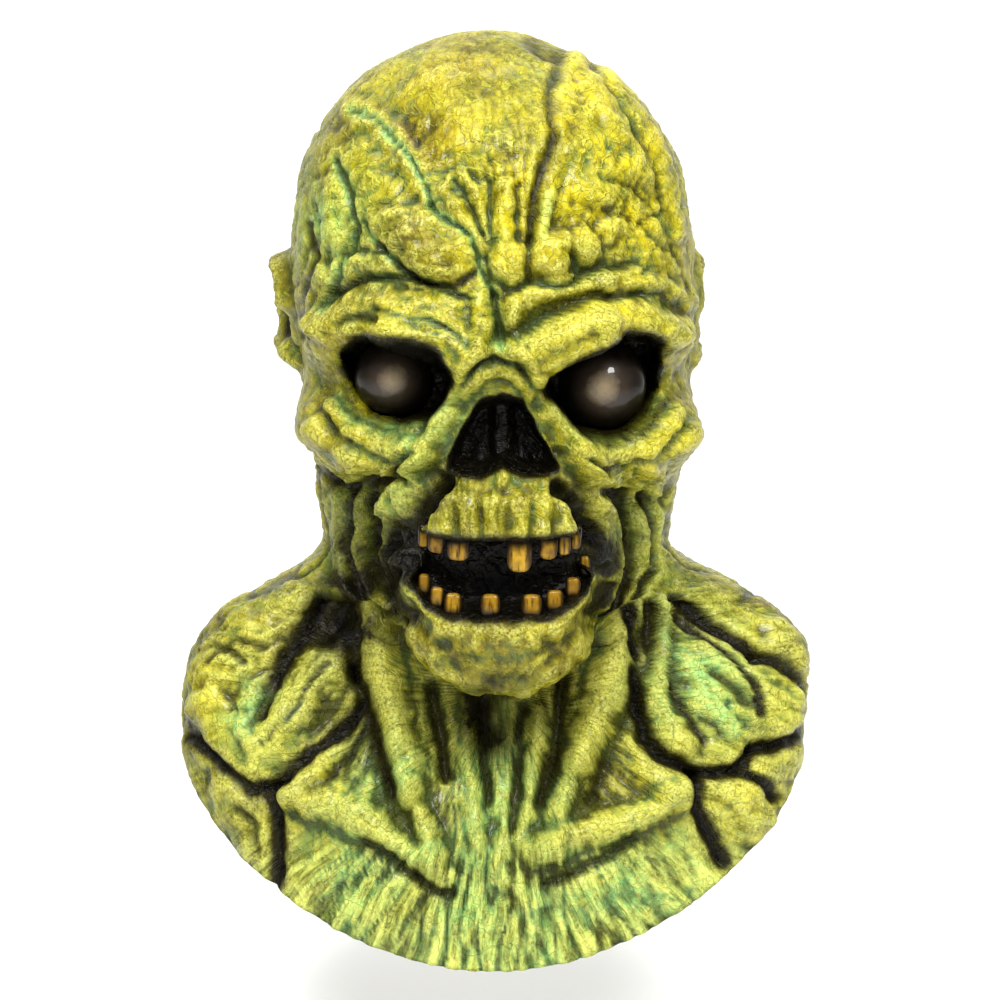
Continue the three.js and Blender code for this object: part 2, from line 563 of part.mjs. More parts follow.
// A ball with a flat back, looking along -Y, grown by a gap where it is used as a cutter
function eyeGeometry(eye, gap = 0) {
  const radius = eye.radius + gap;
  const back = eye.radius * EYE_BACK_FLAT + gap;
  const reach = Math.acos(-back / radius);
  const profile = Array.from({ length: EYE_RINGS + 1 }, (_, k) => {
    const angle = (reach * k) / EYE_RINGS;
    return new THREE.Vector2(radius * Math.sin(angle), radius * Math.cos(angle));
  });
  profile.push(new THREE.Vector2(0, -back));
  const ball = new THREE.LatheGeometry(profile.reverse(), EYE_FACETS);
  return ball.rotateX(Math.PI);
}

// The cup of latex that closes the socket behind an eye: the rear part of a larger ball
function cupGeometry(eye) {
  const radius = eye.radius + FIT_GAP + WALL;
  const back = eye.radius * EYE_BACK_FLAT + FIT_GAP + WALL;
  const reach = Math.asin(back / radius);
  const profile = [new THREE.Vector2(0, -back)];
  for (let k = 0; k <= CUP_RINGS; k += 1) {
    const angle = reach * (k / CUP_RINGS - 1);
    profile.push(new THREE.Vector2(radius * Math.cos(angle), radius * Math.sin(angle)));
  }
  profile.push(new THREE.Vector2(0, 0));
  return new THREE.LatheGeometry(profile, EYE_FACETS).rotateX(Math.PI);
}

function toothGeometry(tooth, gap = 0) {
  const crown = tooth.height * TOOTH_HEIGHT;
  const halfWidth = (tooth.width * TOOTH_WIDTH) / 2;
  const profile = TOOTH_OUTLINE.map(({ out, along }, i) => {
    const length = along <= 1 ? along * crown : crown + (along - 1) * TOOTH_ROOT;
    const end = i === 0 ? -gap : i >= TOOTH_OUTLINE.length - 2 ? gap : 0;
    return new THREE.Vector2(out ? out * halfWidth + gap : 0, length + end);
  });
  const peg = new THREE.LatheGeometry(profile, TOOTH_FACETS);
  peg.rotateY(Math.PI / TOOTH_FACETS);
  peg.scale(1, 1, (TOOTH_THICKNESS + 2 * gap) / (2 * halfWidth + 2 * gap));
  peg.rotateX(Math.PI / 2);
  peg.translate(0, 0, -crown);
  return peg;
}

function toothPlace(tooth, upper) {
  const x = tooth.x * MOUTH_HALF_WIDTH;
  const inward = upper ? -1 : 1;
  const z = edgeAt(MOUTH, x, upper ? "upper" : "lower") + inward * tooth.raise * TOOTH_HEIGHT;
  const lip = mix(GUM_LIP, CORNER_GUM_LIP, tooth.x ** 2);
  return new THREE.Vector3(x, faceDepthAt(x, z) + lip, z);
}

const placed = (mesh, geometry) => {
  mesh.updateMatrix();
  return solidOf(geometry.clone().applyMatrix4(mesh.matrix));
};

const mask = new THREE.Group();
let skin = skinShell();

const eyes = new THREE.Group();
for (const eye of EYES) {
  const mesh = new THREE.Mesh(eyeGeometry(eye), ACRYLIC);
  mesh.name = eye.name;
  mesh.position.set(eye.x, faceDepthAt(eye.x, eye.z) + EYE_SETBACK, eye.z);
  skin = skin.add(placed(mesh, cupGeometry(eye))).subtract(placed(mesh, eyeGeometry(eye, FIT_GAP)));
  eyes.add(mesh);
}
mask.add(eyes);

const teeth = new THREE.Group();
for (const [row, upper, label] of [
  [UPPER_TEETH, true, "upper_tooth_"],
  [LOWER_TEETH, false, "lower_tooth_"],
]) {
  row.forEach((tooth, i) => {
    const mesh = new THREE.Mesh(toothGeometry(tooth), ENAMEL);
    mesh.name = label + (i + 1);
    mesh.position.copy(toothPlace(tooth, upper));
    mesh.rotation.y = upper ? 0 : Math.PI;
    skin = skin.subtract(placed(mesh, toothGeometry(tooth, FIT_GAP)));
    teeth.add(mesh);
  });
}
mask.add(teeth);

const skinMesh = new THREE.Mesh(geometryOf(skin), LATEX);
skinMesh.name = "latex_skin";
mask.add(skinMesh);

export default mask;
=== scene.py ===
"""A full-head latex mask of a rotten ghoul: a painted skin, two clear-coated eyes and amber teeth.

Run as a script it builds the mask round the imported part. Loaded as an add-on it offers the skin,
the eyes, the teeth and the studio as operators in the 3D view's sidebar.
"""

import itertools
import math
from collections import namedtuple

import bpy
import numpy as np
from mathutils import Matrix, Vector


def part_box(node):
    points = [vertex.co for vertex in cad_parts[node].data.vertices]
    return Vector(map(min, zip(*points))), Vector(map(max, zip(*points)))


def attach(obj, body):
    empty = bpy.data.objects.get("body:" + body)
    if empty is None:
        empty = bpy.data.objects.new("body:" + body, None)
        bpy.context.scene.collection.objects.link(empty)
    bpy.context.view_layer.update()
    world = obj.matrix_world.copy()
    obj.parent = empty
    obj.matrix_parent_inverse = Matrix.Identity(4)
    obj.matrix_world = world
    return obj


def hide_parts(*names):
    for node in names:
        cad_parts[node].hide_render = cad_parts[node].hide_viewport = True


bl_info = {
    "name": "Ghoul mask",
    "version": (1, 0, 0),
    "blender": (4, 5, 0),
    "location": "View3D > Sidebar > Ghoul mask",
    "description": "A painted latex ghoul mask with set-in eyes and separate teeth",
    "category": "Add Mesh",
}

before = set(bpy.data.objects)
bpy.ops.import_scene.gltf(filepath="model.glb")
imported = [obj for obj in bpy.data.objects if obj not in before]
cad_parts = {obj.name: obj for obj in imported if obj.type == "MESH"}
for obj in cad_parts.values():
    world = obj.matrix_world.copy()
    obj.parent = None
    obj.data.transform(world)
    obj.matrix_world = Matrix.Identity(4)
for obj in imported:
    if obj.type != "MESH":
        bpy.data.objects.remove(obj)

# Lengths are millimetres until a mesh is made, in the part's frame: +Z up, the face looks along -Y
MM = 0.001
WALL = 3.0
CROWN_TOP = WALL
CHIN_DROP = 305.0
BIB_BELOW_CHIN = 141.0
CHIN_Z = CROWN_TOP - CHIN_DROP

# The camera stands where the photograph was taken from; places on the mask are read in its frame
VIEW_AIM = np.array([0.0, -105.0, -214.0])
VIEW_DISTANCE = 1000.0
VIEW_ELEVATION = math.radians(8)
PHOTO_SIZE = 1000
FOCAL_PIXELS = 2198.0
SENSOR_MM = 36.0

SizeSet = namedtuple("SizeSet", "half_width front back top drop")
HEAD = SizeSet(100.0, 112.0, 118.0, CROWN_TOP, CHIN_DROP)
NECK = SizeSet(130.0, 92.0, 112.0, CHIN_Z, BIB_BELOW_CHIN)
BUST = SizeSet(160.0, 92.0, 108.0, CHIN_Z, BIB_BELOW_CHIN)

# Rings of the skin from the crown to the cut edge. Depths at the front, side and back and the
# lean along X are shares of the size set; reach is given at each of the azimuths.
AZIMUTHS = np.radians([0, 20, 40, 60, 90, 135, 180])
Ring = namedtuple("Ring", "name size front side back lean reach")
RINGS = [
    Ring("crown", HEAD, 0, 0, 0, -0.07, [0, 0, 0, 0, 0, 0, 0]),
    Ring("top", HEAD, 0.026, 0.026, 0.026, -0.07, [0.36, 0.36, 0.36, 0.36, 0.36, 0.36, 0.36]),
    Ring("upper skull", HEAD, 0.095, 0.089, 0.082, -0.055, [0.66, 0.66, 0.665, 0.675, 0.685, 0.69, 0.68]),
    Ring("high forehead", HEAD, 0.197, 0.187, 0.174, -0.045,
         [0.845, 0.85, 0.86, 0.885, 0.905, 0.915, 0.9]),
    Ring("forehead", HEAD, 0.311, 0.298, 0.285, -0.04, [0.93, 0.94, 0.955, 0.975, 0.99, 1.01, 1]),
    Ring("above the brow", HEAD, 0.41, 0.397, 0.39, -0.035,
         [0.98, 0.985, 0.99, 0.995, 1.005, 1.02, 1.02]),
    Ring("brow", HEAD, 0.482, 0.475, 0.475, -0.025, [0.985, 0.98, 0.97, 0.975, 0.995, 1.01, 1]),
    Ring("eyes", HEAD, 0.554, 0.548, 0.548, -0.02, [0.93, 0.91, 0.9, 0.96, 0.97, 0.98, 0.97]),
    Ring("cheekbones", HEAD, 0.626, 0.62, 0.607, -0.01, [0.95, 0.93, 0.96, 1.05, 0.96, 0.95, 0.92]),
    Ring("nose base", HEAD, 0.692, 0.679, 0.659, 0, [0.97, 0.94, 0.86, 0.9, 0.94, 0.92, 0.86]),
    Ring("upper gum", HEAD, 0.764, 0.738, 0.705, -0.02, [1.04, 1, 0.8, 0.74, 0.91, 0.9, 0.81]),
    Ring("mouth", HEAD, 0.836, 0.79, 0.752, -0.02, [1.03, 0.98, 0.76, 0.7, 0.88, 0.88, 0.78]),
    Ring("lower gum", HEAD, 0.902, 0.83, 0.787, -0.02, [1.03, 0.98, 0.74, 0.68, 0.87, 0.88, 0.77]),
    Ring("chin", HEAD, 0.961, 0.856, 0.81, -0.02, [0.99, 0.94, 0.7, 0.66, 0.92, 0.89, 0.77]),
    Ring("jaw edge", HEAD, 1, 0.872, 0.836, -0.01, [0.88, 0.84, 0.66, 0.66, 1, 0.92, 0.775]),
    Ring("under the jaw", HEAD, 0.993, 0.895, 0.87, 0, [0.66, 0.65, 0.62, 0.68, 1.13, 0.99, 0.79]),
    Ring("throat", NECK, -0.014, -0.163, -0.163, 0, [0.6, 0.6, 0.61, 0.69, 1.02, 0.93, 0.855]),
    Ring("neck", NECK, 0.128, -0.085, -0.064, 0, [0.6, 0.62, 0.7, 0.83, 1.13, 1.03, 0.885]),
    Ring("collar", BUST, 0.305, 0.014, 0.043, 0, [0.7, 0.73, 0.79, 0.86, 0.98, 0.96, 0.95]),
    Ring("chest", BUST, 0.539, 0.142, 0.163, -0.01, [0.86, 0.88, 0.91, 0.95, 1, 1, 0.99]),
    Ring("bib", BUST, 0.78, 0.255, 0.326, -0.02, [0.95, 0.96, 0.97, 0.985, 1, 1, 1]),
    Ring("cut edge", BUST, 1, 0.369, 0.496, -0.02, [0.985, 0.99, 1, 1, 0.99, 1, 1]),
]
RING_NAMES = [ring.name for ring in RINGS]
JAW_ROW = RING_NAMES.index("jaw edge") + 0.6
EDGE_BOW = 1.7
FRONT_CROWDING = 0.55
SKULL_DENSITY, FACE_DENSITY, BUST_DENSITY = 0.6, 1.15, 0.95

# Broad forms in the front view: bars between two points. x, radius and push are shares of the
# size set's half width and z is a share of its drop; a positive push stands out.
Bar = namedtuple("Bar", "name x1 z1 x2 z2 radius push")
FACE_BARS = [
    Bar("right brow, outer", -0.8, 0.482, -0.45, 0.462, 0.2, 0.09),
    Bar("right brow, inner", -0.42, 0.462, -0.14, 0.502, 0.16, 0.12),
    Bar("left brow, inner", 0.14, 0.502, 0.4, 0.462, 0.16, 0.13),
    Bar("left brow, outer", 0.42, 0.462, 0.8, 0.48, 0.2, 0.08),
    Bar("nose bridge", -0.04, 0.53, 0, 0.55, 0.17, 0.04),
    Bar("right cheekbone, outer", -0.88, 0.6, -0.68, 0.64, 0.15, 0.04),
    Bar("right cheekbone, front", -0.64, 0.646, -0.38, 0.636, 0.14, 0.05),
    Bar("left cheekbone, outer", 0.86, 0.61, 0.68, 0.642, 0.15, 0.04),
    Bar("left cheekbone, front", 0.64, 0.646, 0.38, 0.636, 0.14, 0.05),
    Bar("upper jaw", -0.2, 0.715, 0.2, 0.715, 0.22, 0.05),
    Bar("right cheek hollow", -0.68, 0.72, -0.6, 0.86, 0.18, -0.11),
    Bar("left cheek hollow", 0.62, 0.72, 0.68, 0.86, 0.16, -0.08),
    Bar("lower lip, right", -0.44, 0.82, -0.26, 0.9, 0.1, 0.03),
    Bar("lower lip, middle", -0.22, 0.905, 0.22, 0.905, 0.1, 0.03),
    Bar("lower lip, left", 0.26, 0.9, 0.44, 0.826, 0.1, 0.03),
]
BUST_BARS = [
    Bar("right neck tendon, upper", -0.36, -0.1, -0.29, 0.27, 0.12, 0.05),
    Bar("left neck tendon, upper", 0.33, -0.06, 0.25, 0.34, 0.12, 0.05),
    Bar("throat hollow", -0.01, 0.08, -0.01, 0.48, 0.12, -0.04),
    Bar("hollow above the right collarbone", -0.52, 0.2, -0.42, 0.29, 0.13, -0.04),
    Bar("hollow above the left collarbone", 0.46, 0.18, 0.4, 0.29, 0.13, -0.04),
]

# The edges of the holes in the face: x is a share of the half width from the middle, upper and
# lower are shares of the half height. The black paint reaches past the edge as painted shade and fades
# over a width.
Hole = namedtuple("Hole", "x z half_width half_height depth softness shade_reach shade_width rows")
MOUTH_EDGE = [
    (-1, 0.4, 0.35),
    (-0.9, 1.05, -0.35),
    (-0.72, 1, -0.85),
    (-0.48, 0.93, -1.08),
    (0.5, 0.93, -1.08),
    (0.74, 1, -0.78),
    (0.9, 0.95, -0.4),
    (1, 0.2, 0.15),
]
NOSE_EDGE = [
    (-1, -0.6, -0.9),
    (-0.75, 0.12, -0.98),
    (-0.35, 0.83, -1),
    (0, 0.98, -0.78),
    (0.35, 0.8, -1),
    (0.75, -0.1, -0.98),
    (1, -0.75, -0.9),
]
RIGHT_SOCKET_EDGE = [
    (-1, 0.25, 0),
    (-0.85, 0.8, -0.4),
    (-0.5, 1.15, -0.95),
    (0, 1.2, -1.15),
    (0.5, 1.12, -1.05),
    (0.8, 0.9, -0.7),
    (1, 0.5, -0.05),
]
LEFT_SOCKET_EDGE = [
    (-1, 0.2, -0.05),
    (-0.75, 0.62, -0.7),
    (-0.4, 0.98, -1.06),
    (0, 1.25, -1.18),
    (0.4, 1.28, -1.08),
    (0.75, 1.05, -0.65),
    (1, 0.35, -0.1),
]
MOUTH = Hole(0, CROWN_TOP - 250.5, 44.0, 17.6, 26.0, 3.6, 3.6, 4.0, MOUTH_EDGE)
NOSE = Hole(1.0, CROWN_TOP - 187.0, 26.0, 20.5, 20.0, 8.0, 2.5, 5.0, NOSE_EDGE)
RIGHT_SOCKET = Hole(-46.5, CROWN_TOP - 164.0, 26.5, 19.5, 24.0, 5.5, 5.0, 8.0, RIGHT_SOCKET_EDGE)
LEFT_SOCKET = Hole(47.0, CROWN_TOP - 168.0, 29.0, 21.5, 24.0, 5.5, 5.0, 8.0, LEFT_SOCKET_EDGE)
CORNER_SHALLOWING = 0.35
SEPTUM_HALF_WIDTH = 4.5
SEPTUM_SHARE = 0.3
LIP_BEAD = 3.0
LIP_PUSH = 1.6
LID_DROP = 3.5
HOLE_WARP = 0.8

# The ears in the view from the side, as places along Y and Z, and how far each ear stands out
EAR_MOUND = [(4, -146), (8, -124)]
EAR_RIM = [(-8, -158), (6, -154), (20, -140), (25, -124), (18, -112), (4, -108), (-6, -116), (-8, -130)]
EAR_FOLD = [(-2, -150), (10, -140), (13, -126), (4, -120)]
EAR_TIP = [(18, -114), (6, -110)]
EAR_HOLLOW = [(0, -144), (4, -132)]
EAR_HOLLOW_DEPTH = 4.0
RIGHT_EAR_RELIEF = 13.0
LEFT_EAR_RELIEF = 6.5

# Small forms and paint, each along a path in the photograph's frame. radius is in its pixels, push
# in millimetres, and dark and mint say how much of those colours lies in it. The dark is black paint
# in the veins and painted shade in the other grooves, holes and gaps.
Stroke = namedtuple("Stroke", "name radius push dark mint path")
HEAD_STROKES = [
    Stroke("right temple swelling", 44, 3.6, 0, 0, [(362, 172), (384, 206)]),
    Stroke("crown swelling, right", 40, 3.0, 0, 0, [(440, 84), (462, 134)]),
    Stroke("crown swelling, left", 44, 3.4, 0, 0, [(596, 120), (610, 176)]),
    Stroke("forehead vein lips", 17, 2.2, 0, 0,
           [(353, 110), (383, 123), (401, 148), (421, 174), (432, 205), (474, 238)]),
    Stroke("forehead vein, upper", 5, -2.6, 0.1, 1,
           [(353, 110), (383, 123), (401, 148), (421, 174), (432, 205)]),
    Stroke("forehead vein, lower", 5, -2.8, 0.2, 1,
           [(432, 205), (454, 225), (474, 238), (480, 267), (496, 298)]),
    Stroke("forehead vein, branch", 5, -2.0, 0.3, 0.8, [(366, 223), (383, 249), (402, 268), (424, 284)]),
    Stroke("diagonal fold, outer", 9, 2.6, 0, 0, [(442, 190), (464, 216), (482, 244)]),
    Stroke("diagonal fold, inner", 8, 2.4, 0, 0, [(462, 172), (480, 205), (490, 236)]),
    Stroke("diagonal crease", 4.5, -2.0, 0.25, 0.3, [(452, 180), (472, 210), (487, 242)]),
    Stroke("middle ridge", 13, 5, 0, 0, [(505, 186), (503, 229)]),
    Stroke("crease beside the ridge, right", 5, -2.4, 0.3, 0.4, [(489, 180), (488, 210), (490, 238)]),
    Stroke("crease beside the ridge, left", 6, -2.4, 0.4, 0, [(519, 184), (517, 214), (517, 240)]),
    Stroke("skull crack lips", 22, 2.8, 0, 0,
           [(560, 74), (552, 108), (556, 134), (544, 165), (534, 200), (530, 222)]),
    Stroke("skull crack shade", 14, -1.8, 0.45, 0,
           [(531, 42), (560, 62), (550, 90), (555, 134), (544, 165), (530, 226)]),
    Stroke("skull crack, upper", 8, -1.6, 0.5, 0,
           [(538, 46), (561, 64), (550, 90), (551, 110), (555, 134)]),
    Stroke("skull crack, lower", 8, -2.4, 0.6, 0,
           [(555, 134), (544, 165), (535, 196), (529, 227), (527, 240)]),
    Stroke("lump, middle", 27, 8, 0, 0, [(505, 257), (505, 265)]),
    Stroke("lump, left", 26, 9, 0, 0, [(551, 252), (552, 262)]),
    Stroke("lump, far left", 21, 7, 0, 0, [(583, 243), (586, 248)]),
    Stroke("lump, outer left", 17, 3.4, 0, 0, [(608, 230), (618, 224)]),
    Stroke("ridge above the left lump", 8, 3.4, 0, 0.5, [(548, 196), (541, 234)]),
    Stroke("crease between the lumps", 7, -3.6, 0.2, 0, [(527, 234), (528, 256), (530, 280)]),
    Stroke("crease left of the left lump", 5, -2.6, 0.3, 0, [(569, 228), (570, 252), (577, 274)]),
    Stroke("crease under the middle lump", 6, -3.0, 0.35, 0.3,
           [(484, 256), (492, 280), (510, 290), (528, 284)]),
    Stroke("crease under the left lump", 6, -3.0, 0.3, 0.2,
           [(532, 284), (552, 286), (574, 278), (604, 262)]),
    Stroke("warty mass", 38, 6.5, 0, 0, [(404, 232), (438, 256)]),
    Stroke("crease under the warty mass", 6, -3.2, 0.6, 0,
           [(382, 244), (398, 264), (424, 284), (454, 286), (474, 270)]),
    Stroke("right brow roll", 21, 6.5, 0, 0,
           [(322, 326), (358, 304), (410, 303), (452, 317), (480, 342)]),
    Stroke("right brow under fold", 9, 3, 0, 0, [(352, 330), (400, 327), (446, 338), (472, 358)]),
    Stroke("right brow crease", 6, -3.2, 0.45, 0.5,
           [(330, 298), (364, 278), (410, 277), (446, 290), (478, 300)]),
    Stroke("right brow middle crease", 4.5, -1.8, 0.35, 0.2,
           [(340, 322), (380, 310), (430, 318), (462, 334)]),
    Stroke("right brow upper fold", 13, 3, 0, 0, [(330, 276), (352, 262), (386, 262)]),
    Stroke("left brow roll", 22, 7.5, 0, 0, [(514, 352), (548, 334), (590, 313), (640, 311), (674, 334)]),
    Stroke("left brow upper roll", 15, 5, 0, 0, [(508, 318), (530, 296), (560, 286), (600, 282)]),
    Stroke("left brow outer roll", 14, 4, 0, 0, [(604, 284), (650, 281), (686, 300)]),
    Stroke("left brow crease", 6, -3.2, 0.35, 0.3, [(516, 338), (546, 314), (584, 299), (640, 294)]),
    Stroke("left brow upper crease", 5.5, -2.2, 0.15, 0.2, [(560, 282), (600, 268), (640, 262)]),
    Stroke("frown crease", 6, -4.2, 0.4, 0.9, [(493, 294), (497, 318), (500, 344)]),
    Stroke("frown fold, right", 11, 4, 0, 0, [(478, 300), (483, 322), (480, 346)]),
    Stroke("frown fold, left", 11, 4, 0, 0, [(512, 300), (511, 322), (516, 342)]),
    Stroke("skull fold, left inner", 15, 2.6, 0, 0, [(576, 60), (606, 116), (644, 176)]),
    Stroke("skull fold, left outer", 14, 2.4, 0, 0, [(608, 76), (646, 126), (672, 190), (682, 232)]),
    Stroke("skull crease, left", 6, -1.6, 0.15, 0, [(590, 62), (620, 108), (652, 166), (668, 214)]),
    Stroke("temple crease, left upper", 5.5, -1.6, 0.15, 0,
           [(600, 176), (636, 190), (664, 220), (682, 262)]),
    Stroke("temple crease, left lower", 5.5, -1.6, 0.1, 0, [(604, 206), (640, 222), (668, 250)]),
    Stroke("temple vein, right", 6.5, -3.0, 0.3, 0.9,
           [(337, 160), (351, 196), (358, 228), (342, 266), (326, 306)]),
    Stroke("temple lump, right upper", 20, 3.4, 0, 0, [(330, 196), (334, 236)]),
    Stroke("temple lump, right lower", 17, 3.2, 0, 0, [(316, 276), (316, 322)]),
    Stroke("temple crease, right", 5.5, -2.6, 0.55, 0, [(306, 226), (314, 258), (304, 300), (298, 340)]),
    Stroke("bridge fold, upper", 9, 4.4, 0, 0,
           [(462, 368), (476, 351), (497, 345), (518, 351), (534, 370)]),
    Stroke("bridge crease", 4.5, -2.6, 0.6, 0.2,
           [(464, 384), (479, 364), (497, 357), (515, 364), (531, 384)]),
    Stroke("bridge fold, lower", 8, 3.6, 0, 0,
           [(468, 394), (482, 375), (498, 370), (514, 376), (528, 396)]),
    Stroke("nose wall, right", 14, 5, 0, 0, [(460, 388), (446, 412), (434, 440), (420, 464)]),
    Stroke("nose wall, left", 15, 5, 0, 0, [(538, 386), (554, 412), (570, 440), (586, 462)]),
    Stroke("nose wall crease, right", 6, -2.8, 0.35, 0.8, [(444, 390), (428, 416), (410, 444)]),
    Stroke("nose wall crease, left", 6, -2.8, 0.5, 0.3, [(556, 390), (574, 418), (594, 444)]),
    Stroke("right eyelid rim", 7, 2.2, 0.5, 0.9,
           [(338, 398), (354, 420), (392, 432), (430, 424), (450, 402)]),
    Stroke("right eye bag", 11, 4.6, 0, 0, [(330, 404), (350, 432), (392, 446), (430, 437), (452, 412)]),
    Stroke("right eye bag crease", 5, -2.8, 0.55, 0.2, [(326, 416), (352, 446), (392, 460), (426, 452)]),
    Stroke("right cheekbone", 19, 6, 0, 0, [(316, 430), (344, 456), (386, 464), (418, 452)]),
    Stroke("left eyelid rim", 7, 2.2, 0.6, 0.3,
           [(548, 404), (566, 430), (604, 446), (640, 436), (664, 404)]),
    Stroke("left eye bag", 12, 4.6, 0, 0, [(548, 414), (566, 444), (606, 456), (648, 446), (676, 412)]),
    Stroke("left eye bag crease", 5, -2.8, 0.55, 0, [(556, 448), (602, 468), (652, 458), (684, 424)]),
    Stroke("left cheekbone", 19, 6, 0, 0, [(572, 460), (610, 477), (654, 467), (688, 436)]),
    Stroke("under the right cheekbone", 11, -6.5, 0.85, 0,
           [(308, 468), (338, 490), (362, 488), (388, 480)]),
    Stroke("under the left cheekbone", 11, -5.5, 0.7, 0,
           [(694, 474), (664, 500), (632, 499), (602, 490)]),
    Stroke("cheek hole, right outer", 8, -7, 1, 0, [(378, 476), (384, 482)]),
    Stroke("cheek hole, right inner", 8, -7, 1, 0, [(400, 466), (408, 474)]),
    Stroke("cheek sinew, outer", 5.5, 4, 0, 0, [(390, 464), (390, 486), (384, 504)]),
    Stroke("cheek sinew, inner", 5.5, 4, 0, 0, [(416, 458), (402, 482), (390, 508)]),
    Stroke("side gap, right", 13, -14, 1, 0, [(406, 560), (402, 530), (418, 504), (442, 484)]),
    Stroke("side gap, left", 12, -12, 1, 0, [(592, 562), (596, 532), (582, 502), (562, 486)]),
    Stroke("cheek strand, right inner", 12, 6.5, 0, 0.3,
           [(430, 456), (408, 484), (392, 516), (388, 560), (404, 606)]),
    Stroke("cheek strand, right middle", 10, 5, 0, 0, [(362, 490), (362, 530), (368, 584), (388, 628)]),
    Stroke("cheek strand, right outer", 10, 4.4, 0, 0.4,
           [(338, 494), (336, 536), (346, 590), (366, 630)]),
    Stroke("cheek crease, right", 7, -5, 0.95, 0, [(374, 500), (378, 544), (386, 588), (404, 634)]),
    Stroke("cheek crease, outer right", 6, -4, 0.85, 0.1,
           [(350, 496), (349, 540), (358, 590), (376, 628)]),
    Stroke("cheek strand, left inner", 12, 6, 0, 0,
           [(570, 456), (594, 482), (610, 516), (613, 556), (604, 606)]),
    Stroke("cheek strand, left middle", 10, 4.4, 0, 0, [(634, 498), (642, 532), (638, 576), (620, 616)]),
    Stroke("cheek strand, left outer", 10, 4, 0, 0.4, [(658, 494), (664, 530), (658, 566), (646, 596)]),
    Stroke("cheek crease, left", 7, -4.4, 0.8, 0, [(616, 496), (628, 536), (627, 580), (612, 618)]),
    Stroke("cheek crease, outer left", 6, -3.6, 0.65, 0.4,
           [(648, 494), (654, 532), (650, 570), (634, 602)]),
    Stroke("nose spine", 9, 6, 0, 0, [(501, 474), (501, 482)]),
    Stroke("upper jaw, right edge", 7, -2.4, 0.5, 0, [(440, 486), (424, 512), (420, 534)]),
    Stroke("upper jaw, left edge", 7, -2.4, 0.5, 0, [(568, 486), (582, 512), (586, 534)]),
    Stroke("chin boss", 42, 5, 0, 0, [(486, 656), (516, 656)]),
    Stroke("chin edge", 14, 4, 0, 0,
           [(414, 634), (436, 664), (470, 684), (510, 690), (552, 674), (584, 640)]),
    Stroke("chin crease", 8, -1.0, 0.1, 0, [(440, 640), (476, 656), (520, 656), (556, 640)]),
    Stroke("mouth corner shade, right", 10, -4, 0.9, 0, [(394, 570), (398, 596), (412, 616)]),
    Stroke("mouth corner shade, left", 8, -3, 0.8, 0, [(604, 584), (600, 600), (592, 612)]),
    Stroke("mouth corner gap, right", 12, -2, 1, 0, [(402, 526), (394, 548), (401, 574)]),
    Stroke("mouth corner gap, left", 9, -2, 1, 0, [(598, 528), (606, 550), (602, 570)]),
    Stroke("jaw crease, right", 8, -4, 0.8, 0, [(392, 612), (406, 644), (426, 672)]),
    Stroke("jaw crease, left", 8, -4, 0.8, 0, [(610, 606), (600, 644), (580, 668)]),
]
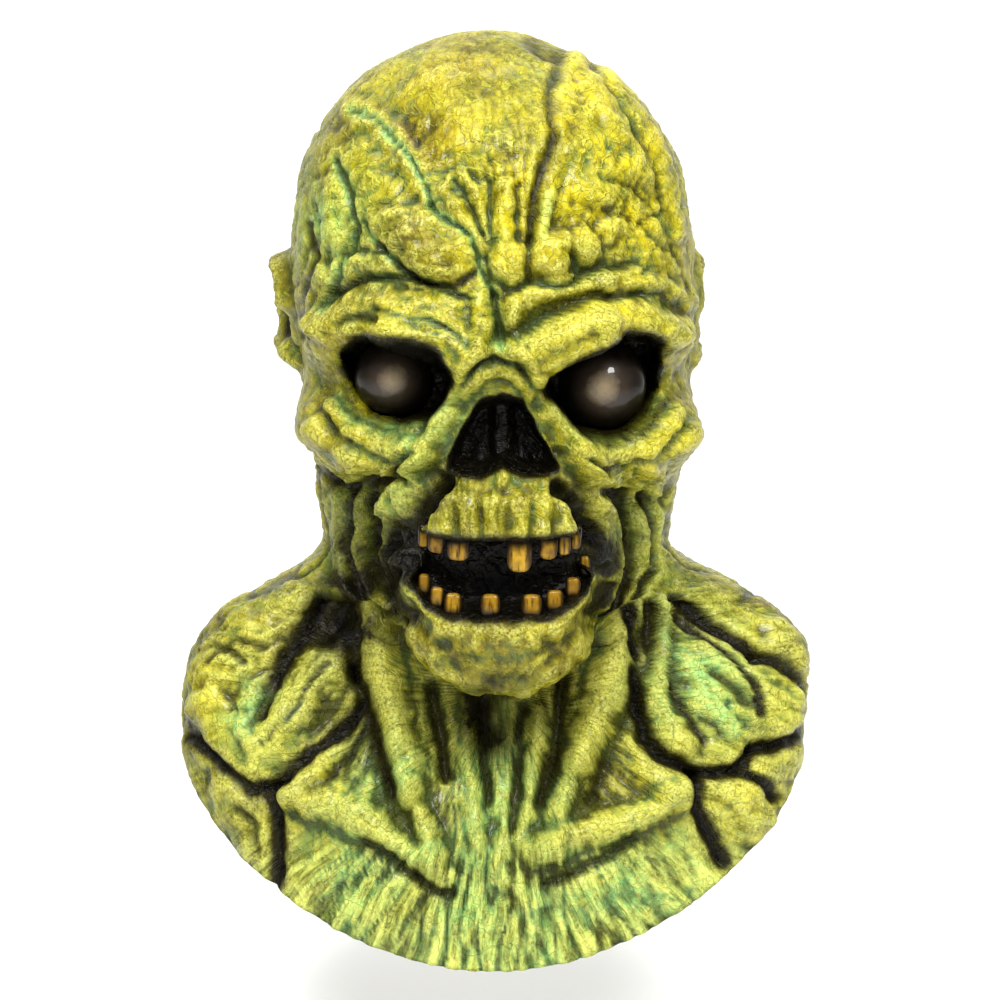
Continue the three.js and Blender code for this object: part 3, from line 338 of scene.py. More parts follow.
BUST_STROKES = [
    Stroke("right shoulder plate", 46, 6, 0, 0, [(214, 664), (256, 622), (296, 590)]),
    Stroke("right shoulder crease, outer", 6, -2.4, 0.5, 0,
           [(198, 652), (216, 645), (234, 652), (246, 664)]),
    Stroke("right shoulder crease, inner", 6, -2.4, 0.5, 0,
           [(214, 662), (240, 640), (266, 646), (284, 636)]),
    Stroke("right neck shade", 24, -8, 0.75, 0, [(340, 566), (334, 610), (326, 640)]),
    Stroke("right shoulder valley", 13, -6.5, 1, 0,
           [(330, 580), (310, 622), (286, 656), (268, 690), (262, 712)]),
    Stroke("right strap muscle", 27, 9, 0, 0.15, [(340, 648), (304, 694), (268, 742)]),
    Stroke("right strap crease", 5, -2.4, 0.5, 0.2, [(330, 668), (300, 706), (268, 748)]),
    Stroke("right hollow light", 18, 2, 0, 0.9, [(244, 720), (262, 694)]),
    Stroke("right arm plate", 26, 5, 0, 0, [(206, 706), (228, 736), (252, 766)]),
    Stroke("right arm corner", 14, -3, 0.8, 0, [(182, 722), (196, 738)]),
    Stroke("right arm vein lips", 20, 3, 0, 0,
           [(190, 740), (222, 762), (256, 800), (290, 790), (330, 742)]),
    Stroke("right arm vein, outer", 10, -5.5, 1, 0, [(186, 736), (220, 760), (250, 790), (276, 786)]),
    Stroke("right arm vein, inner", 9, -5.5, 1, 0, [(276, 786), (308, 758), (350, 722), (362, 700)]),
    Stroke("right armpit vein", 10, -5.5, 1, 0, [(272, 790), (278, 824), (274, 884)]),
    Stroke("right lower plate", 22, 5, 0, 0, [(226, 788), (248, 824), (256, 852)]),
    Stroke("right lower crease", 6, -2.6, 0.5, 0.1, [(240, 806), (256, 822), (260, 852)]),
    Stroke("right collarbone", 19, 10, 0, 0, [(292, 796), (348, 812), (396, 842), (440, 874)]),
    Stroke("right collarbone upper", 14, 4, 0, 0, [(300, 778), (344, 792), (380, 816)]),
    Stroke("under the right collarbone", 9, -5, 0.45, 0.1,
           [(366, 838), (392, 858), (420, 882), (452, 894)]),
    Stroke("right chest triangle", 24, 3, 0, 0.4, [(384, 748), (366, 780)]),
    Stroke("right chest triangle crease", 6, -3.4, 0.6, 0.2, [(370, 716), (350, 756), (326, 782)]),
    Stroke("right tendon", 25, 12, 0, 0, [(372, 580), (384, 680), (398, 740), (408, 784)]),
    Stroke("right tendon, lower", 15, 10, 0, 0, [(404, 776), (424, 822), (436, 858)]),
    Stroke("gap outside the right tendon", 11, -6, 0.7, 0,
           [(352, 648), (362, 690), (376, 740), (392, 792)]),
    Stroke("gap beside the right tendon", 12, -7, 0.6, 0.2, [(430, 690), (440, 730), (446, 776)]),
    Stroke("inner right tendon", 11, 4, 0, 0, [(466, 700), (468, 760), (478, 840)]),
    Stroke("gap beside the windpipe, right", 8, -4.5, 0.5, 0.3, [(482, 704), (484, 760), (490, 800)]),
    Stroke("windpipe", 14, 4.4, 0, 0.3, [(502, 700), (504, 780), (502, 880)]),
    Stroke("gap beside the windpipe, left", 8, -4.5, 0.5, 0.3, [(522, 704), (520, 770), (512, 830)]),
    Stroke("inner left tendon", 10, 3.6, 0, 0, [(538, 712), (534, 770), (520, 840)]),
    Stroke("gap beside the left tendon", 12, -7, 0.6, 0.1,
           [(562, 680), (560, 712), (552, 760), (540, 800)]),
    Stroke("left tendon", 24, 12, 0, 0, [(628, 590), (616, 656), (598, 708), (580, 756)]),
    Stroke("left tendon, lower", 15, 9, 0, 0, [(580, 750), (564, 800), (548, 850)]),
    Stroke("gap outside the left tendon", 10, -5.5, 0.5, 0,
           [(640, 690), (626, 720), (606, 760), (592, 800)]),
    Stroke("left chest muscle", 22, 5, 0, 0, [(612, 740), (640, 770), (668, 790)]),
    Stroke("left collarbone", 19, 10, 0, 0, [(682, 796), (640, 814), (584, 834), (536, 852)]),
    Stroke("under the left collarbone", 9, -5, 0.45, 0, [(634, 838), (594, 864), (546, 886)]),
    Stroke("left nape ridge", 17, 5, 0, 0, [(670, 552), (716, 582), (758, 612), (792, 626)]),
    Stroke("left shoulder valley", 11, -6, 0.95, 0, [(660, 574), (680, 604), (720, 630), (754, 656)]),
    Stroke("left shoulder valley, outer", 8, -5.0, 0.9, 0,
           [(754, 656), (780, 660), (802, 678), (818, 704)]),
    Stroke("left shoulder knob", 30, 9, 0, 0, [(788, 634), (802, 646)]),
    Stroke("left shoulder dip", 24, -7, 0, 0, [(742, 596), (764, 604)]),
    Stroke("left shoulder plate", 34, 6, 0, 0, [(700, 656), (744, 690), (784, 712)]),
    Stroke("left plate fold", 5.5, -3.2, 0.75, 0,
           [(668, 612), (700, 634), (734, 664), (756, 690), (760, 716)]),
    Stroke("left plate hollow", 12, -4.5, 0.4, 0.6, [(714, 676), (734, 690), (750, 704)]),
    Stroke("left plate light, inner", 13, 2.4, 0, 1, [(664, 632), (682, 668)]),
    Stroke("left plate light, outer", 15, 2.4, 0, 1, [(700, 692), (730, 724)]),
    Stroke("left oval muscle", 22, 8, 0, 0, [(652, 690), (664, 722), (684, 744)]),
    Stroke("left oval crease", 5.5, -3, 0.7, 0, [(664, 676), (682, 706), (704, 740)]),
    Stroke("left arm vein lips", 20, 3, 0, 0,
           [(626, 680), (634, 742), (668, 776), (736, 788), (790, 756)]),
    Stroke("left arm vein, inner", 10, -6, 1, 0,
           [(634, 672), (636, 708), (644, 740), (664, 760), (696, 772)]),
    Stroke("left arm vein, middle", 10, -5.5, 1, 0, [(696, 772), (736, 772), (756, 752)]),
    Stroke("left arm vein, outer", 9, -5.5, 1, 0, [(756, 752), (792, 740), (818, 714)]),
    Stroke("left arm vein, branch", 8, -4.5, 0.95, 0, [(736, 772), (760, 781), (776, 798)]),
    Stroke("left armpit vein", 11, -5.5, 1, 0, [(696, 774), (698, 812), (724, 860)]),
    Stroke("left lower plate", 28, 5.5, 0, 0, [(730, 800), (752, 820)]),
    Stroke("left lower lump", 11, 3, 0, 0, [(736, 800), (738, 803)]),
    Stroke("jaw hole, left", 13, -10, 1, 0.2, [(624, 606), (626, 630), (632, 650)]),
    Stroke("jaw hole rim, left", 7, 3.4, 0, 0.4, [(640, 600), (646, 634), (642, 660)]),
    Stroke("neck hole, right", 8, -8, 1, 0.3, [(350, 664), (354, 676)]),
    Stroke("left neck shade", 16, -6, 0.7, 0, [(650, 560), (652, 600), (648, 640)]),
    Stroke("right nape muscle", 18, 4.5, 0, 0, [(322, 552), (284, 578), (232, 604)]),
    Stroke("right neck strand", 11, 6, 0, 0.3, [(334, 480), (330, 530), (344, 590)]),
    Stroke("left neck strand", 11, 5.5, 0, 0.4, [(660, 500), (656, 546), (664, 620), (660, 680)]),
]

# Evenly spaced ridges: roots over the upper teeth and furrows under the lower ones
Comb = namedtuple("Comb", "name first last count top bottom bow radius push dark")
COMBS = [
    Comb("tooth roots", 444, 568, 6, 498, 530, 4, 14, 2.8, 0),
    # The furrows between the roots get painted shade, as much as the dark column says
    Comb("between the tooth roots", 456, 556, 5, 506, 536, 4, 6, -1.6, 0.35),
    Comb("chin furrows", 436, 576, 8, 628, 650, -8, 8, 1.3, 0),
]

# Wrinkles that run along a direction round a place in the photograph's frame: angle in degrees
# from the picture's right, stretch along to across, size across in pixels, depth in millimetres
Flow = namedtuple("Flow", "name x y spread angle stretch size depth")
FLOWS = [
    Flow("right forehead", 400, 190, 70, 30, 2.4, 9, 1.2),
    Flow("right brow", 400, 306, 50, -6, 3.4, 7, 1.3),
    Flow("left brow", 600, 312, 60, 16, 3.4, 7, 1.3),
    Flow("left forehead", 640, 190, 60, 62, 2.6, 9, 1.2),
    Flow("middle forehead", 505, 180, 50, 90, 3.4, 7, 1.2),
    Flow("bridge", 495, 356, 40, 0, 3.0, 5, 1.0),
    Flow("right temple", 320, 290, 60, 80, 3.0, 8, 1.3),
    Flow("left temple", 684, 330, 50, 96, 3.0, 8, 1.2),
    Flow("right cheek", 346, 530, 60, 84, 5.0, 7, 1.9),
    Flow("left cheek", 644, 540, 60, 98, 5.0, 7, 1.8),
    Flow("right cheekbone", 370, 450, 45, -8, 3.4, 6, 1.2),
    Flow("left cheekbone", 630, 462, 50, 8, 3.4, 6, 1.2),
    Flow("upper jaw", 500, 510, 50, 90, 3.0, 6, 1.0),
    Flow("chin", 500, 664, 60, 30, 2.4, 7, 0.7),
]
BUST_FLOWS = [
    Flow("right shoulder", 240, 650, 60, 32, 3.2, 9, 1.5),
    Flow("right strap", 304, 694, 36, 52, 6.0, 7, 2.2),
    Flow("right chest", 366, 772, 40, 62, 6.0, 7, 2.2),
    Flow("left shoulder", 740, 690, 60, -40, 3.2, 9, 1.5),
    Flow("left chest", 630, 750, 45, -46, 5.0, 8, 1.8),
    Flow("right neck", 340, 600, 50, 80, 5.0, 7, 1.8),
    Flow("left neck", 660, 600, 50, 100, 5.0, 7, 1.8),
    Flow("throat", 500, 770, 70, 90, 6.0, 7, 2.0),
]

# Washes of paint round places in the photograph's frame; the dark ones are painted shade
Patch = namedtuple("Patch", "name paint x y radius strength")
PATCHES = [
    Patch("skull top, right", "yellow", 440, 90, 70, 0.8),
    Patch("skull top, left", "yellow", 615, 120, 90, 1.0),
    Patch("left forehead", "yellow", 640, 200, 70, 0.9),
    Patch("right brow", "yellow", 390, 312, 60, 0.6),
    Patch("left brow", "yellow", 600, 320, 70, 0.8),
    Patch("middle forehead", "yellow", 510, 240, 66, 0.9),
    Patch("right temple", "yellow", 376, 190, 50, 0.7),
    Patch("left cheekbone", "yellow", 640, 456, 60, 1.0),
    Patch("right cheekbone", "yellow", 350, 440, 50, 0.8),
    Patch("upper jaw", "brown", 500, 516, 60, 0.7),
    Patch("upper jaw, low", "dark", 500, 520, 64, 0.28),
    Patch("chin", "yellow", 520, 656, 60, 0.4),
    Patch("right shoulder", "yellow", 220, 680, 70, 0.8),
    Patch("left shoulder", "yellow", 770, 630, 60, 0.8),
    Patch("right collarbone", "yellow", 350, 815, 60, 0.9),
    Patch("left collarbone", "yellow", 640, 790, 70, 0.9),
    Patch("left lower plate", "yellow", 745, 810, 50, 0.8),
    Patch("warty mass", "brown", 415, 236, 50, 1.0),
    Patch("right skull", "brown", 410, 135, 46, 1.0),
    Patch("skull top", "brown", 450, 70, 44, 1.0),
    Patch("skull side", "brown", 330, 150, 40, 0.6),
    Patch("lumps", "brown", 540, 270, 34, 0.5),
    Patch("right temple, low", "brown", 314, 320, 40, 0.8),
    Patch("brow, right", "brown", 372, 282, 34, 0.6),
    Patch("chin, right", "brown", 440, 640, 34, 0.7),
    Patch("chin, left", "brown", 560, 660, 40, 0.8),
    Patch("lower lip", "brown", 500, 630, 60, 0.8),
    Patch("right cheekbone, low", "brown", 350, 466, 46, 0.8),
    Patch("left cheekbone, low", "brown", 656, 478, 36, 0.5),
    Patch("right cheekbone, shade", "dark", 350, 472, 40, 0.32),
    Patch("left cheekbone, shade", "dark", 660, 482, 36, 0.3),
    Patch("lower lip, left", "brown", 560, 620, 40, 0.7),
    Patch("right armpit", "brown", 300, 830, 60, 0.7),
    Patch("left armpit", "brown", 640, 830, 60, 0.5),
    Patch("right tendon end", "brown", 436, 820, 30, 0.9),
    Patch("right strap", "brown", 306, 690, 36, 0.8),
    Patch("left knob", "brown", 800, 644, 26, 1.0),
    Patch("right shoulder, top", "brown", 250, 610, 50, 0.6),
    Patch("left oval", "brown", 676, 730, 30, 0.7),
    Patch("middle forehead, low", "yellow", 540, 200, 60, 0.8),
    Patch("right neck", "brown", 350, 640, 40, 0.7),
    Patch("left chest streaks", "mint", 650, 890, 80, 0.6),
    Patch("left hollow", "mint", 690, 680, 60, 0.9),
    Patch("throat streaks", "mint", 500, 910, 100, 0.8),
    Patch("right chest streaks", "mint", 390, 880, 90, 0.7),
    Patch("right chest triangle", "mint", 385, 780, 44, 0.9),
    Patch("right cheek", "mint", 356, 520, 50, 0.6),
    Patch("left cheek", "mint", 655, 530, 50, 0.5),
    Patch("right temple streaks", "mint", 330, 220, 50, 0.7),
    Patch("nose side", "mint", 430, 420, 40, 0.7),
    Patch("throat", "dark", 500, 708, 56, 0.75),
    Patch("throat, middle", "mint", 510, 790, 60, 0.9),
    Patch("right neck", "dark", 350, 610, 60, 0.95),
    Patch("right jaw side", "dark", 360, 545, 50, 0.85),
    Patch("left neck", "dark", 642, 640, 44, 0.5),
    Patch("left jaw side", "dark", 640, 550, 44, 0.35),
    Patch("right cheek", "dark", 388, 560, 48, 0.8),
    Patch("left cheek", "dark", 616, 560, 40, 0.5),
    Patch("upper jaw, right", "dark", 436, 500, 26, 0.5),
    Patch("upper jaw, left", "dark", 566, 500, 26, 0.5),
    Patch("lower lip", "dark", 500, 620, 40, 0.35),
    Patch("right socket", "dark", 393, 384, 62, 0.35),
    Patch("left socket", "dark", 603, 390, 66, 0.4),
    Patch("right arm corner", "dark", 190, 735, 24, 0.7),
    Patch("right armpit knot", "dark", 262, 792, 30, 0.6),
]

# The fibres of the chest fan out from a place in the photograph's frame. They start below FAN_TOP and
# outside FAN_HOLE, in its pixels, and stand out by FIBRE_DEPTH, in millimetres.
FAN_CENTRE = (500, 690)
FAN_WIDTH = 1.35
FAN_TOP = 820.0
FAN_HOLE = 130.0
FIBRES_PER_RADIAN = 14
FIBRE_LENGTH = 90
FIBRE_DEPTH = 1.6
STRANDS_PER_RADIAN = 34
STRAND_LENGTH = 42

# The crackle all over: the size of its cells and its depth, in millimetres
CRACKLE = [(17, 0.5), (8.5, 0.5), (4.4, 0.4)]

# How a form of the front view fades: over rows at the jaw, and by the cosine of the azimuth at the sides
JAW_FADE_ROWS = 0.4
SIDE_FADE = 0.3

# A stroke's lip is rounded by a power. Its groove and its paint are as wide as a share of its radius,
# its path sways by a few pixels, and a raised stroke is wiped clean of dark paint and painted shade.
LIP_POWER = 1.4
GROOVE_SHARE = 0.62
PAINT_SHARE = 0.85
PATH_SWAY = 3.0
RADIUS_SWAY = 0.3
WIPED_SHARE = 0.75
STROKE_REACH = 2.2

# The inner wall: every fourth point of the outer one, under its lowest places
INNER_STEP = 4
INNER_REACH = 7
INNER_BLUR = 12
SEED = 11


def srgb(code):
    """A hex colour as linear values with an alpha of 1."""
    values = [int(code[k : k + 2], 16) / 255 for k in (1, 3, 5)]
    linear = [v / 12.92 if v <= 0.04045 else ((v + 0.055) / 1.055) ** 2.4 for v in values]
    return (*linear, 1.0)


def smooth(t):
    """0 below 0, 1 above 1, and an S-shaped rise between."""
    t = np.clip(t, 0, 1)
    return t * t * (3 - 2 * t)


def noise(points, seed):
    """Gradient noise, about -1 to 1, at points with three coordinates, one cell per unit."""
    rng = np.random.default_rng(SEED + seed)
    shuffled = rng.permutation(256)
    slopes = rng.normal(size=(256, 3))
    slopes /= np.linalg.norm(slopes, axis=1, keepdims=True)
    cell = np.floor(points).astype(int)
    inside = points - cell
    fade = inside**3 * (inside * (inside * 6 - 15) + 10)
    total = np.zeros(points.shape[:-1])
    for corner in itertools.product((0, 1), repeat=3):
        at = cell + corner
        pick = shuffled[at[..., 0] & 255]
        pick = shuffled[(pick + at[..., 1]) & 255]
        pick = shuffled[(pick + at[..., 2]) & 255]
        weight = np.prod(np.where(corner, fade, 1 - fade), axis=-1)
        total += weight * ((inside - corner) * slopes[pick]).sum(-1)
    return total * 1.6


def layered(points, seed, layers=4):
    """Noise with finer and weaker copies on top."""
    return sum(noise(points * 2**k, seed + 31 * k) / 2**k for k in range(layers))


def creases(points, seed, width=0.16):
    """1 in thin winding lines and 0 between them."""
    return np.exp(-((noise(points, seed) / width) ** 2))


def through_knots(values, at):
    """A cubic through the reach columns at azimuths from the front, level at both ends."""
    slopes = np.zeros_like(values)
    slopes[:, 1:-1] = (values[:, 2:] - values[:, :-2]) / (AZIMUTHS[2:] - AZIMUTHS[:-2])
    k = np.clip(np.searchsorted(AZIMUTHS, at, side="right") - 1, 0, len(AZIMUTHS) - 2)
    span = AZIMUTHS[k + 1] - AZIMUTHS[k]
    t = (at - AZIMUTHS[k]) / span
    ends = values[:, k] * (2 * t**3 - 3 * t**2 + 1) + values[:, k + 1] * (3 * t**2 - 2 * t**3)
    return ends + span * (slopes[:, k] * (t**3 - 2 * t**2 + t) + slopes[:, k + 1] * (t**3 - t**2))


def between_rings(values, mirror, rows):
    """A smooth curve through the rings' values. The crown's far side mirrors the second ring."""
    before = -values[1] if mirror else values[1]
    padded = np.vstack([before, values, values[-1], values[-1]])
    k = np.clip(np.floor(rows).astype(int), 0, len(values) - 2)
    a, b, c, d = (padded[k + step] for step in range(4))
    t = (rows - k)[:, None]
    square, cube = 2 * a - 5 * b + 4 * c - d, 3 * b - a - 3 * c + d
    return 0.5 * (2 * b + (c - a) * t + square * t**2 + cube * t**3)


def plain_skin(rows, azimuths):
    """The mask without its forms, at rows of the ring table and azimuths from the front."""
    depths = np.array([[r.size.top - s * r.size.drop for s in (r.front, r.side, r.back)] for r in RINGS])
    lean = np.array([[r.lean * r.size.half_width] for r in RINGS])
    reach = np.array([r.reach for r in RINGS])
    widths = reach * np.array([[r.size.half_width] for r in RINGS])
    fronts = reach * np.array([[r.size.front] for r in RINGS])
    backs = reach * np.array([[r.size.back] for r in RINGS])
    depths, lean = between_rings(depths, False, rows), between_rings(lean, False, rows)
    turn = np.abs(azimuths)
    across, ahead, behind = (
        through_knots(between_rings(values, True, rows), turn) for values in (widths, fronts, backs)
    )
    facing = np.cos(azimuths)
    bow = np.abs(facing) ** EDGE_BOW
    end = np.where(facing > 0, depths[:, :1], depths[:, 2:])
    x = lean + across * np.sin(azimuths)
    y = -np.where(facing > 0, ahead, behind) * facing
    z = depths[:, 1:2] + (end - depths[:, 1:2]) * bow
    return np.stack([x, y, z], axis=-1)


def normals_of(grid):
    """Outward normals of a grid of points that is closed round its columns."""
    around = np.roll(grid, -1, axis=1) - np.roll(grid, 1, axis=1)
    down = np.gradient(grid, axis=0)
    normals = np.cross(down, around)
    normals /= np.linalg.norm(normals, axis=-1, keepdims=True) + 1e-9
    normals[0] = (0, 0, 1)
    return normals


def blurred(field, passes):
    """A field on the grid, averaged with its neighbours a number of times."""
    for _ in range(passes):
        field = (np.roll(field, 1, axis=1) + 2 * field + np.roll(field, -1, axis=1)) / 4
        above = np.concatenate([field[:1], field[:-1]])
        below = np.concatenate([field[1:], field[-1:]])
        field = (above + 2 * field + below) / 4
    return field


def lowest_near(field, reach):
    """The lowest value of a field within some steps along the rows and the columns."""
    for _ in range(reach):
        field = np.minimum(field, np.minimum(np.roll(field, 1, axis=1), np.roll(field, -1, axis=1)))
        above = np.vstack([field[:1], field[:-1]])
        below = np.vstack([field[1:], field[-1:]])
        field = np.minimum(field, np.minimum(above, below))
    return field


def photo_place(points):
    """Where points show in the photograph's frame, in its pixels."""
    offset = points - VIEW_AIM
    tilt_cos, tilt_sin = math.cos(VIEW_ELEVATION), math.sin(VIEW_ELEVATION)
    depth = VIEW_DISTANCE + offset[..., 1] * tilt_cos - offset[..., 2] * tilt_sin
    up = offset[..., 2] * tilt_cos + offset[..., 1] * tilt_sin
    middle = PHOTO_SIZE / 2
    right = middle + FOCAL_PIXELS * offset[..., 0] / depth
    down = middle - FOCAL_PIXELS * up / depth
    return np.stack([right, down], -1)


def distance_to_path(places, path):
    """How far places lie from a path of straight stretches."""
    nearest = np.full(places.shape[:-1], np.inf)
    for start, end in zip(path[:-1], path[1:]):
        start, along = np.array(start, float), np.subtract(end, start).astype(float)
        offset = places - start
        t = np.clip(offset @ along / max(along @ along, 1e-9), 0, 1)
        nearest = np.minimum(nearest, np.linalg.norm(offset - t[..., None] * along, axis=-1))
    return nearest


def bar_weight(points, bar, size):
    """1 on a bar of the front view, falling to 0 at its radius."""
    shares = ((bar.x1, bar.z1), (bar.x2, bar.z2))
    ends = [(x * size.half_width, size.top - z * size.drop) for x, z in shares]
    distance = distance_to_path(points[..., [0, 2]], ends) / (bar.radius * size.half_width)
    return smooth(1 - distance)


def inside_hole(hole, points):
    """How far points of the front view lie inside a hole, negative outside it."""
    share = (points[..., 0] - hole.x) / hole.half_width
    at, tops, bottoms = np.array(hole.rows).T
    upper, lower = (hole.z + np.interp(share, at, edge) * hole.half_height for edge in (tops, bottoms))
    within = np.minimum(upper - points[..., 2], points[..., 2] - lower)
    return np.minimum(within, (1 - np.abs(share)) * hole.half_width)


def comb_strokes(comb):
    """The strokes of an evenly spaced comb, bowed so that its middle hangs lower."""
    for k in range(comb.count):
        t = k / (comb.count - 1)
        x = comb.first + (comb.last - comb.first) * t
        drop = comb.bow * (1 - (2 * t - 1) ** 2)
        path = [(x, comb.top + drop), (x, comb.bottom + drop)]
        yield Stroke(comb.name, comb.radius, comb.push, comb.dark, 0, path)


def eye_ball(node):
    """The centre and the radius of an eye of the part, in millimetres."""
    low, high = (np.array(corner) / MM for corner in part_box(node))
    radius = (high[0] - low[0]) / 2
    return np.array([(low[0] + high[0]) / 2, low[1] + radius, (low[2] + high[2]) / 2]), radius


class Skin:
    """The sculpted skin as a grid: points, how far each is raised, and its paint and painted shade."""

    def __init__(self, columns, row_count, wrinkles):
        turn = 2 * np.pi * np.arange(columns) / columns
        azimuths = turn - FRONT_CROWDING * np.sin(turn)
        self.azimuths = np.where(azimuths > np.pi, azimuths - 2 * np.pi, azimuths)
        self.rows = self.spaced_rows(row_count)
        self.plain = plain_skin(self.rows, self.azimuths)
        self.normals = normals_of(self.plain)
        self.on_head = smooth((JAW_ROW + JAW_FADE_ROWS / 2 - self.rows[:, None]) / JAW_FADE_ROWS)
        self.facing = smooth(np.cos(self.azimuths) / SIDE_FADE)[None, :]
        self.points = self.plain.copy()
        self.relief = np.zeros(self.plain.shape[:2])
        self.sunk = np.zeros(self.plain.shape[:2])
        self.paint = {name: np.zeros(self.plain.shape[:2]) for name in ("dark", "mint", "brown", "yellow")}
        self.wrinkles = wrinkles
        self.raise_bars()
        self.raise_ears()
        self.carve_holes()
        self.draw_strokes()
        self.wrinkle()
        self.painted_shade_and_colour()
        self.seat_eyes()

    @staticmethod
    def spaced_rows(count):
        """Rows spaced evenly down the front, closer on the face than on the skull."""
        fine = np.linspace(0, len(RINGS) - 1, 2000)
        path = plain_skin(fine, np.radians([15.0, 60.0]))
        steps = np.linalg.norm(np.diff(path, axis=0), axis=-1).mean(axis=1)
        on_skull, on_face = fine[1:] < RING_NAMES.index("high forehead"), fine[1:] < JAW_ROW
        steps *= np.where(on_skull, SKULL_DENSITY, np.where(on_face, FACE_DENSITY, BUST_DENSITY))
        length = np.concatenate([[0], np.cumsum(steps)])
        return np.interp(np.linspace(0, length[-1], count), length, fine)

    def push(self, amount, along=None):
        """Moves the points out along their normals, or along a direction."""
        self.points += amount[..., None] * (self.normals if along is None else np.array(along))
        if along is None:
            self.relief += amount
        else:
            self.sunk += amount

    def lay_paint_and_shade(self, paint, amount):
        """Lays on paint and painted shade, no thinner than what is there."""
        self.paint[paint] = np.maximum(self.paint[paint], amount)

    def raise_bars(self):
        for bars, size, here in ((FACE_BARS, HEAD, self.on_head), (BUST_BARS, BUST, 1 - self.on_head)):
            for bar in bars:
                weight = bar_weight(self.plain, bar, size)
                self.push(here * self.facing * weight * bar.push * size.half_width)

    def raise_ears(self):
        """A pointed rim round a hollow on each side of the head, in the view from the side."""
        side = self.plain[..., [1, 2]]
        sideways = smooth((np.abs(np.sin(self.azimuths)) - 0.6) / 0.2)[None, :] * self.on_head
        mound = smooth(1 - distance_to_path(side, EAR_MOUND) / 26)
        ridge = smooth(1 - distance_to_path(side, EAR_RIM) / 7)
        fold = smooth(1 - distance_to_path(side, EAR_FOLD) / 6)
        tip = 1 + 0.5 * smooth(1 - distance_to_path(side, EAR_TIP) / 16)
        for sign, relief in ((-1, RIGHT_EAR_RELIEF), (1, LEFT_EAR_RELIEF)):
            here = sideways * (np.sign(self.azimuths) == sign)[None, :]
            height = here * relief * (0.55 * mound + 0.5 * ridge * tip + 0.2 * fold)
            self.points[..., 0] += sign * height
            self.points[..., 1] += 0.25 * height
            self.relief += 0.4 * height
            hollow = here * smooth(1 - distance_to_path(side, EAR_HOLLOW) / 8)
            # Painted shade in the ear's hollow
            self.lay_paint_and_shade("dark", 0.9 * hollow)
            self.points[..., 0] -= sign * EAR_HOLLOW_DEPTH * hollow

    def carve_holes(self):
        """The mouth, the nose hole and the eye sockets, painted black and wet, with painted shade round
        their edges and under the jaw.
        """
        warped = self.plain + HOLE_WARP * np.stack([noise(self.plain / 7, k) for k in (1, 2, 3)], -1)
        x, z = warped[..., 0], warped[..., 2]
        here = self.on_head * self.facing
        shallow = 1 - CORNER_SHALLOWING * np.minimum(1, np.abs(x) / MOUTH.half_width) ** 2
        septum = 1 - SEPTUM_SHARE * smooth(1.5 - np.abs(x - NOSE.x) / SEPTUM_HALF_WIDTH)
        # Round each hole black paint and then painted shade reach past the edge; lower in a socket the lid
        # holds them back
        lids = [LID_DROP * smooth((socket.z + 4 - z) / 10) for socket in (RIGHT_SOCKET, LEFT_SOCKET)]
        depths, darks = [], []
        holes = zip((MOUTH, NOSE, RIGHT_SOCKET, LEFT_SOCKET), (shallow, septum, 1, 1), (0, 0, *lids))
        for hole, share, lid in holes:
            inside = inside_hole(hole, warped)
            depths.append(hole.depth * share * smooth(inside / hole.softness))
            darks.append(smooth((inside + hole.shade_reach - lid) / hole.shade_width))
        self.push(here * np.max(depths, axis=0), along=(0, 1, 0))
        mouth = inside_hole(MOUTH, warped)
        lips = np.exp(-(((mouth + LIP_BEAD) / LIP_BEAD) ** 2))
        self.push(here * LIP_PUSH * lips)
        self.hole_dark = here * np.max(darks, axis=0)
        self.in_mouth = here * smooth(mouth / 3)
        self.wet = here * np.maximum(smooth((mouth + 4) / 4), self.hole_dark)
        # Painted shade under the jaw, on rows below its edge at the front
        below = self.rows[:, None] - RING_NAMES.index("jaw edge")
        under_jaw = smooth((below - 0.2) / 0.4) * smooth((2.6 - below) / 1.2)
        under_jaw = under_jaw * smooth((np.cos(self.azimuths) - 0.66) / 0.24)[None, :]
        self.lay_paint_and_shade("dark", 0.85 * under_jaw)

    def draw_strokes(self):
        """Small forms, their paint and the painted shade in their grooves, where the photograph shows them.
        """
        sway = np.stack([layered(self.plain / 16, 5, 3), layered(self.plain / 16, 9, 3)], -1)
        places = photo_place(self.points) + PATH_SWAY * sway
        breadth = 1 + RADIUS_SWAY * layered(self.plain / 12, 13, 2)
        head = HEAD_STROKES + [stroke for comb in COMBS for stroke in comb_strokes(comb)]
        for strokes, here in ((head, self.on_head), (BUST_STROKES, 1 - self.on_head)):
            shown = here * self.facing
            for stroke in strokes:
                low = np.min(stroke.path, axis=0) - stroke.radius * STROKE_REACH
                high = np.max(stroke.path, axis=0) + stroke.radius * STROKE_REACH
                near = ((places > low) & (places < high)).all(-1) & (shown > 0)
                if not near.any():
                    continue
                distance = distance_to_path(places[near], stroke.path) / stroke.radius / breadth[near]
                bump = np.clip(1 - distance**2, 0, 1) ** LIP_POWER
                if stroke.push < 0:
                    bump = np.exp(-((distance / GROOVE_SHARE) ** 2))
                amount = np.zeros(near.shape)
                amount[near] = bump * stroke.push
                self.push(amount * shown)
                if stroke.push > 0:
                    wiped = np.clip(amount / stroke.push, 0, 1) * shown * (1 - self.in_mouth)
                    self.paint["dark"] *= 1 - WIPED_SHARE * wiped
                painted_shade_and_colour = np.zeros(near.shape)
                painted_shade_and_colour[near] = np.exp(-((distance / PAINT_SHARE) ** 2))
                # The dark laid here is black paint in the veins and painted shade in the other grooves,
                # holes and gaps
                self.lay_paint_and_shade("dark", stroke.dark * painted_shade_and_colour * shown)
                self.lay_paint_and_shade("mint", stroke.mint * painted_shade_and_colour * shown)

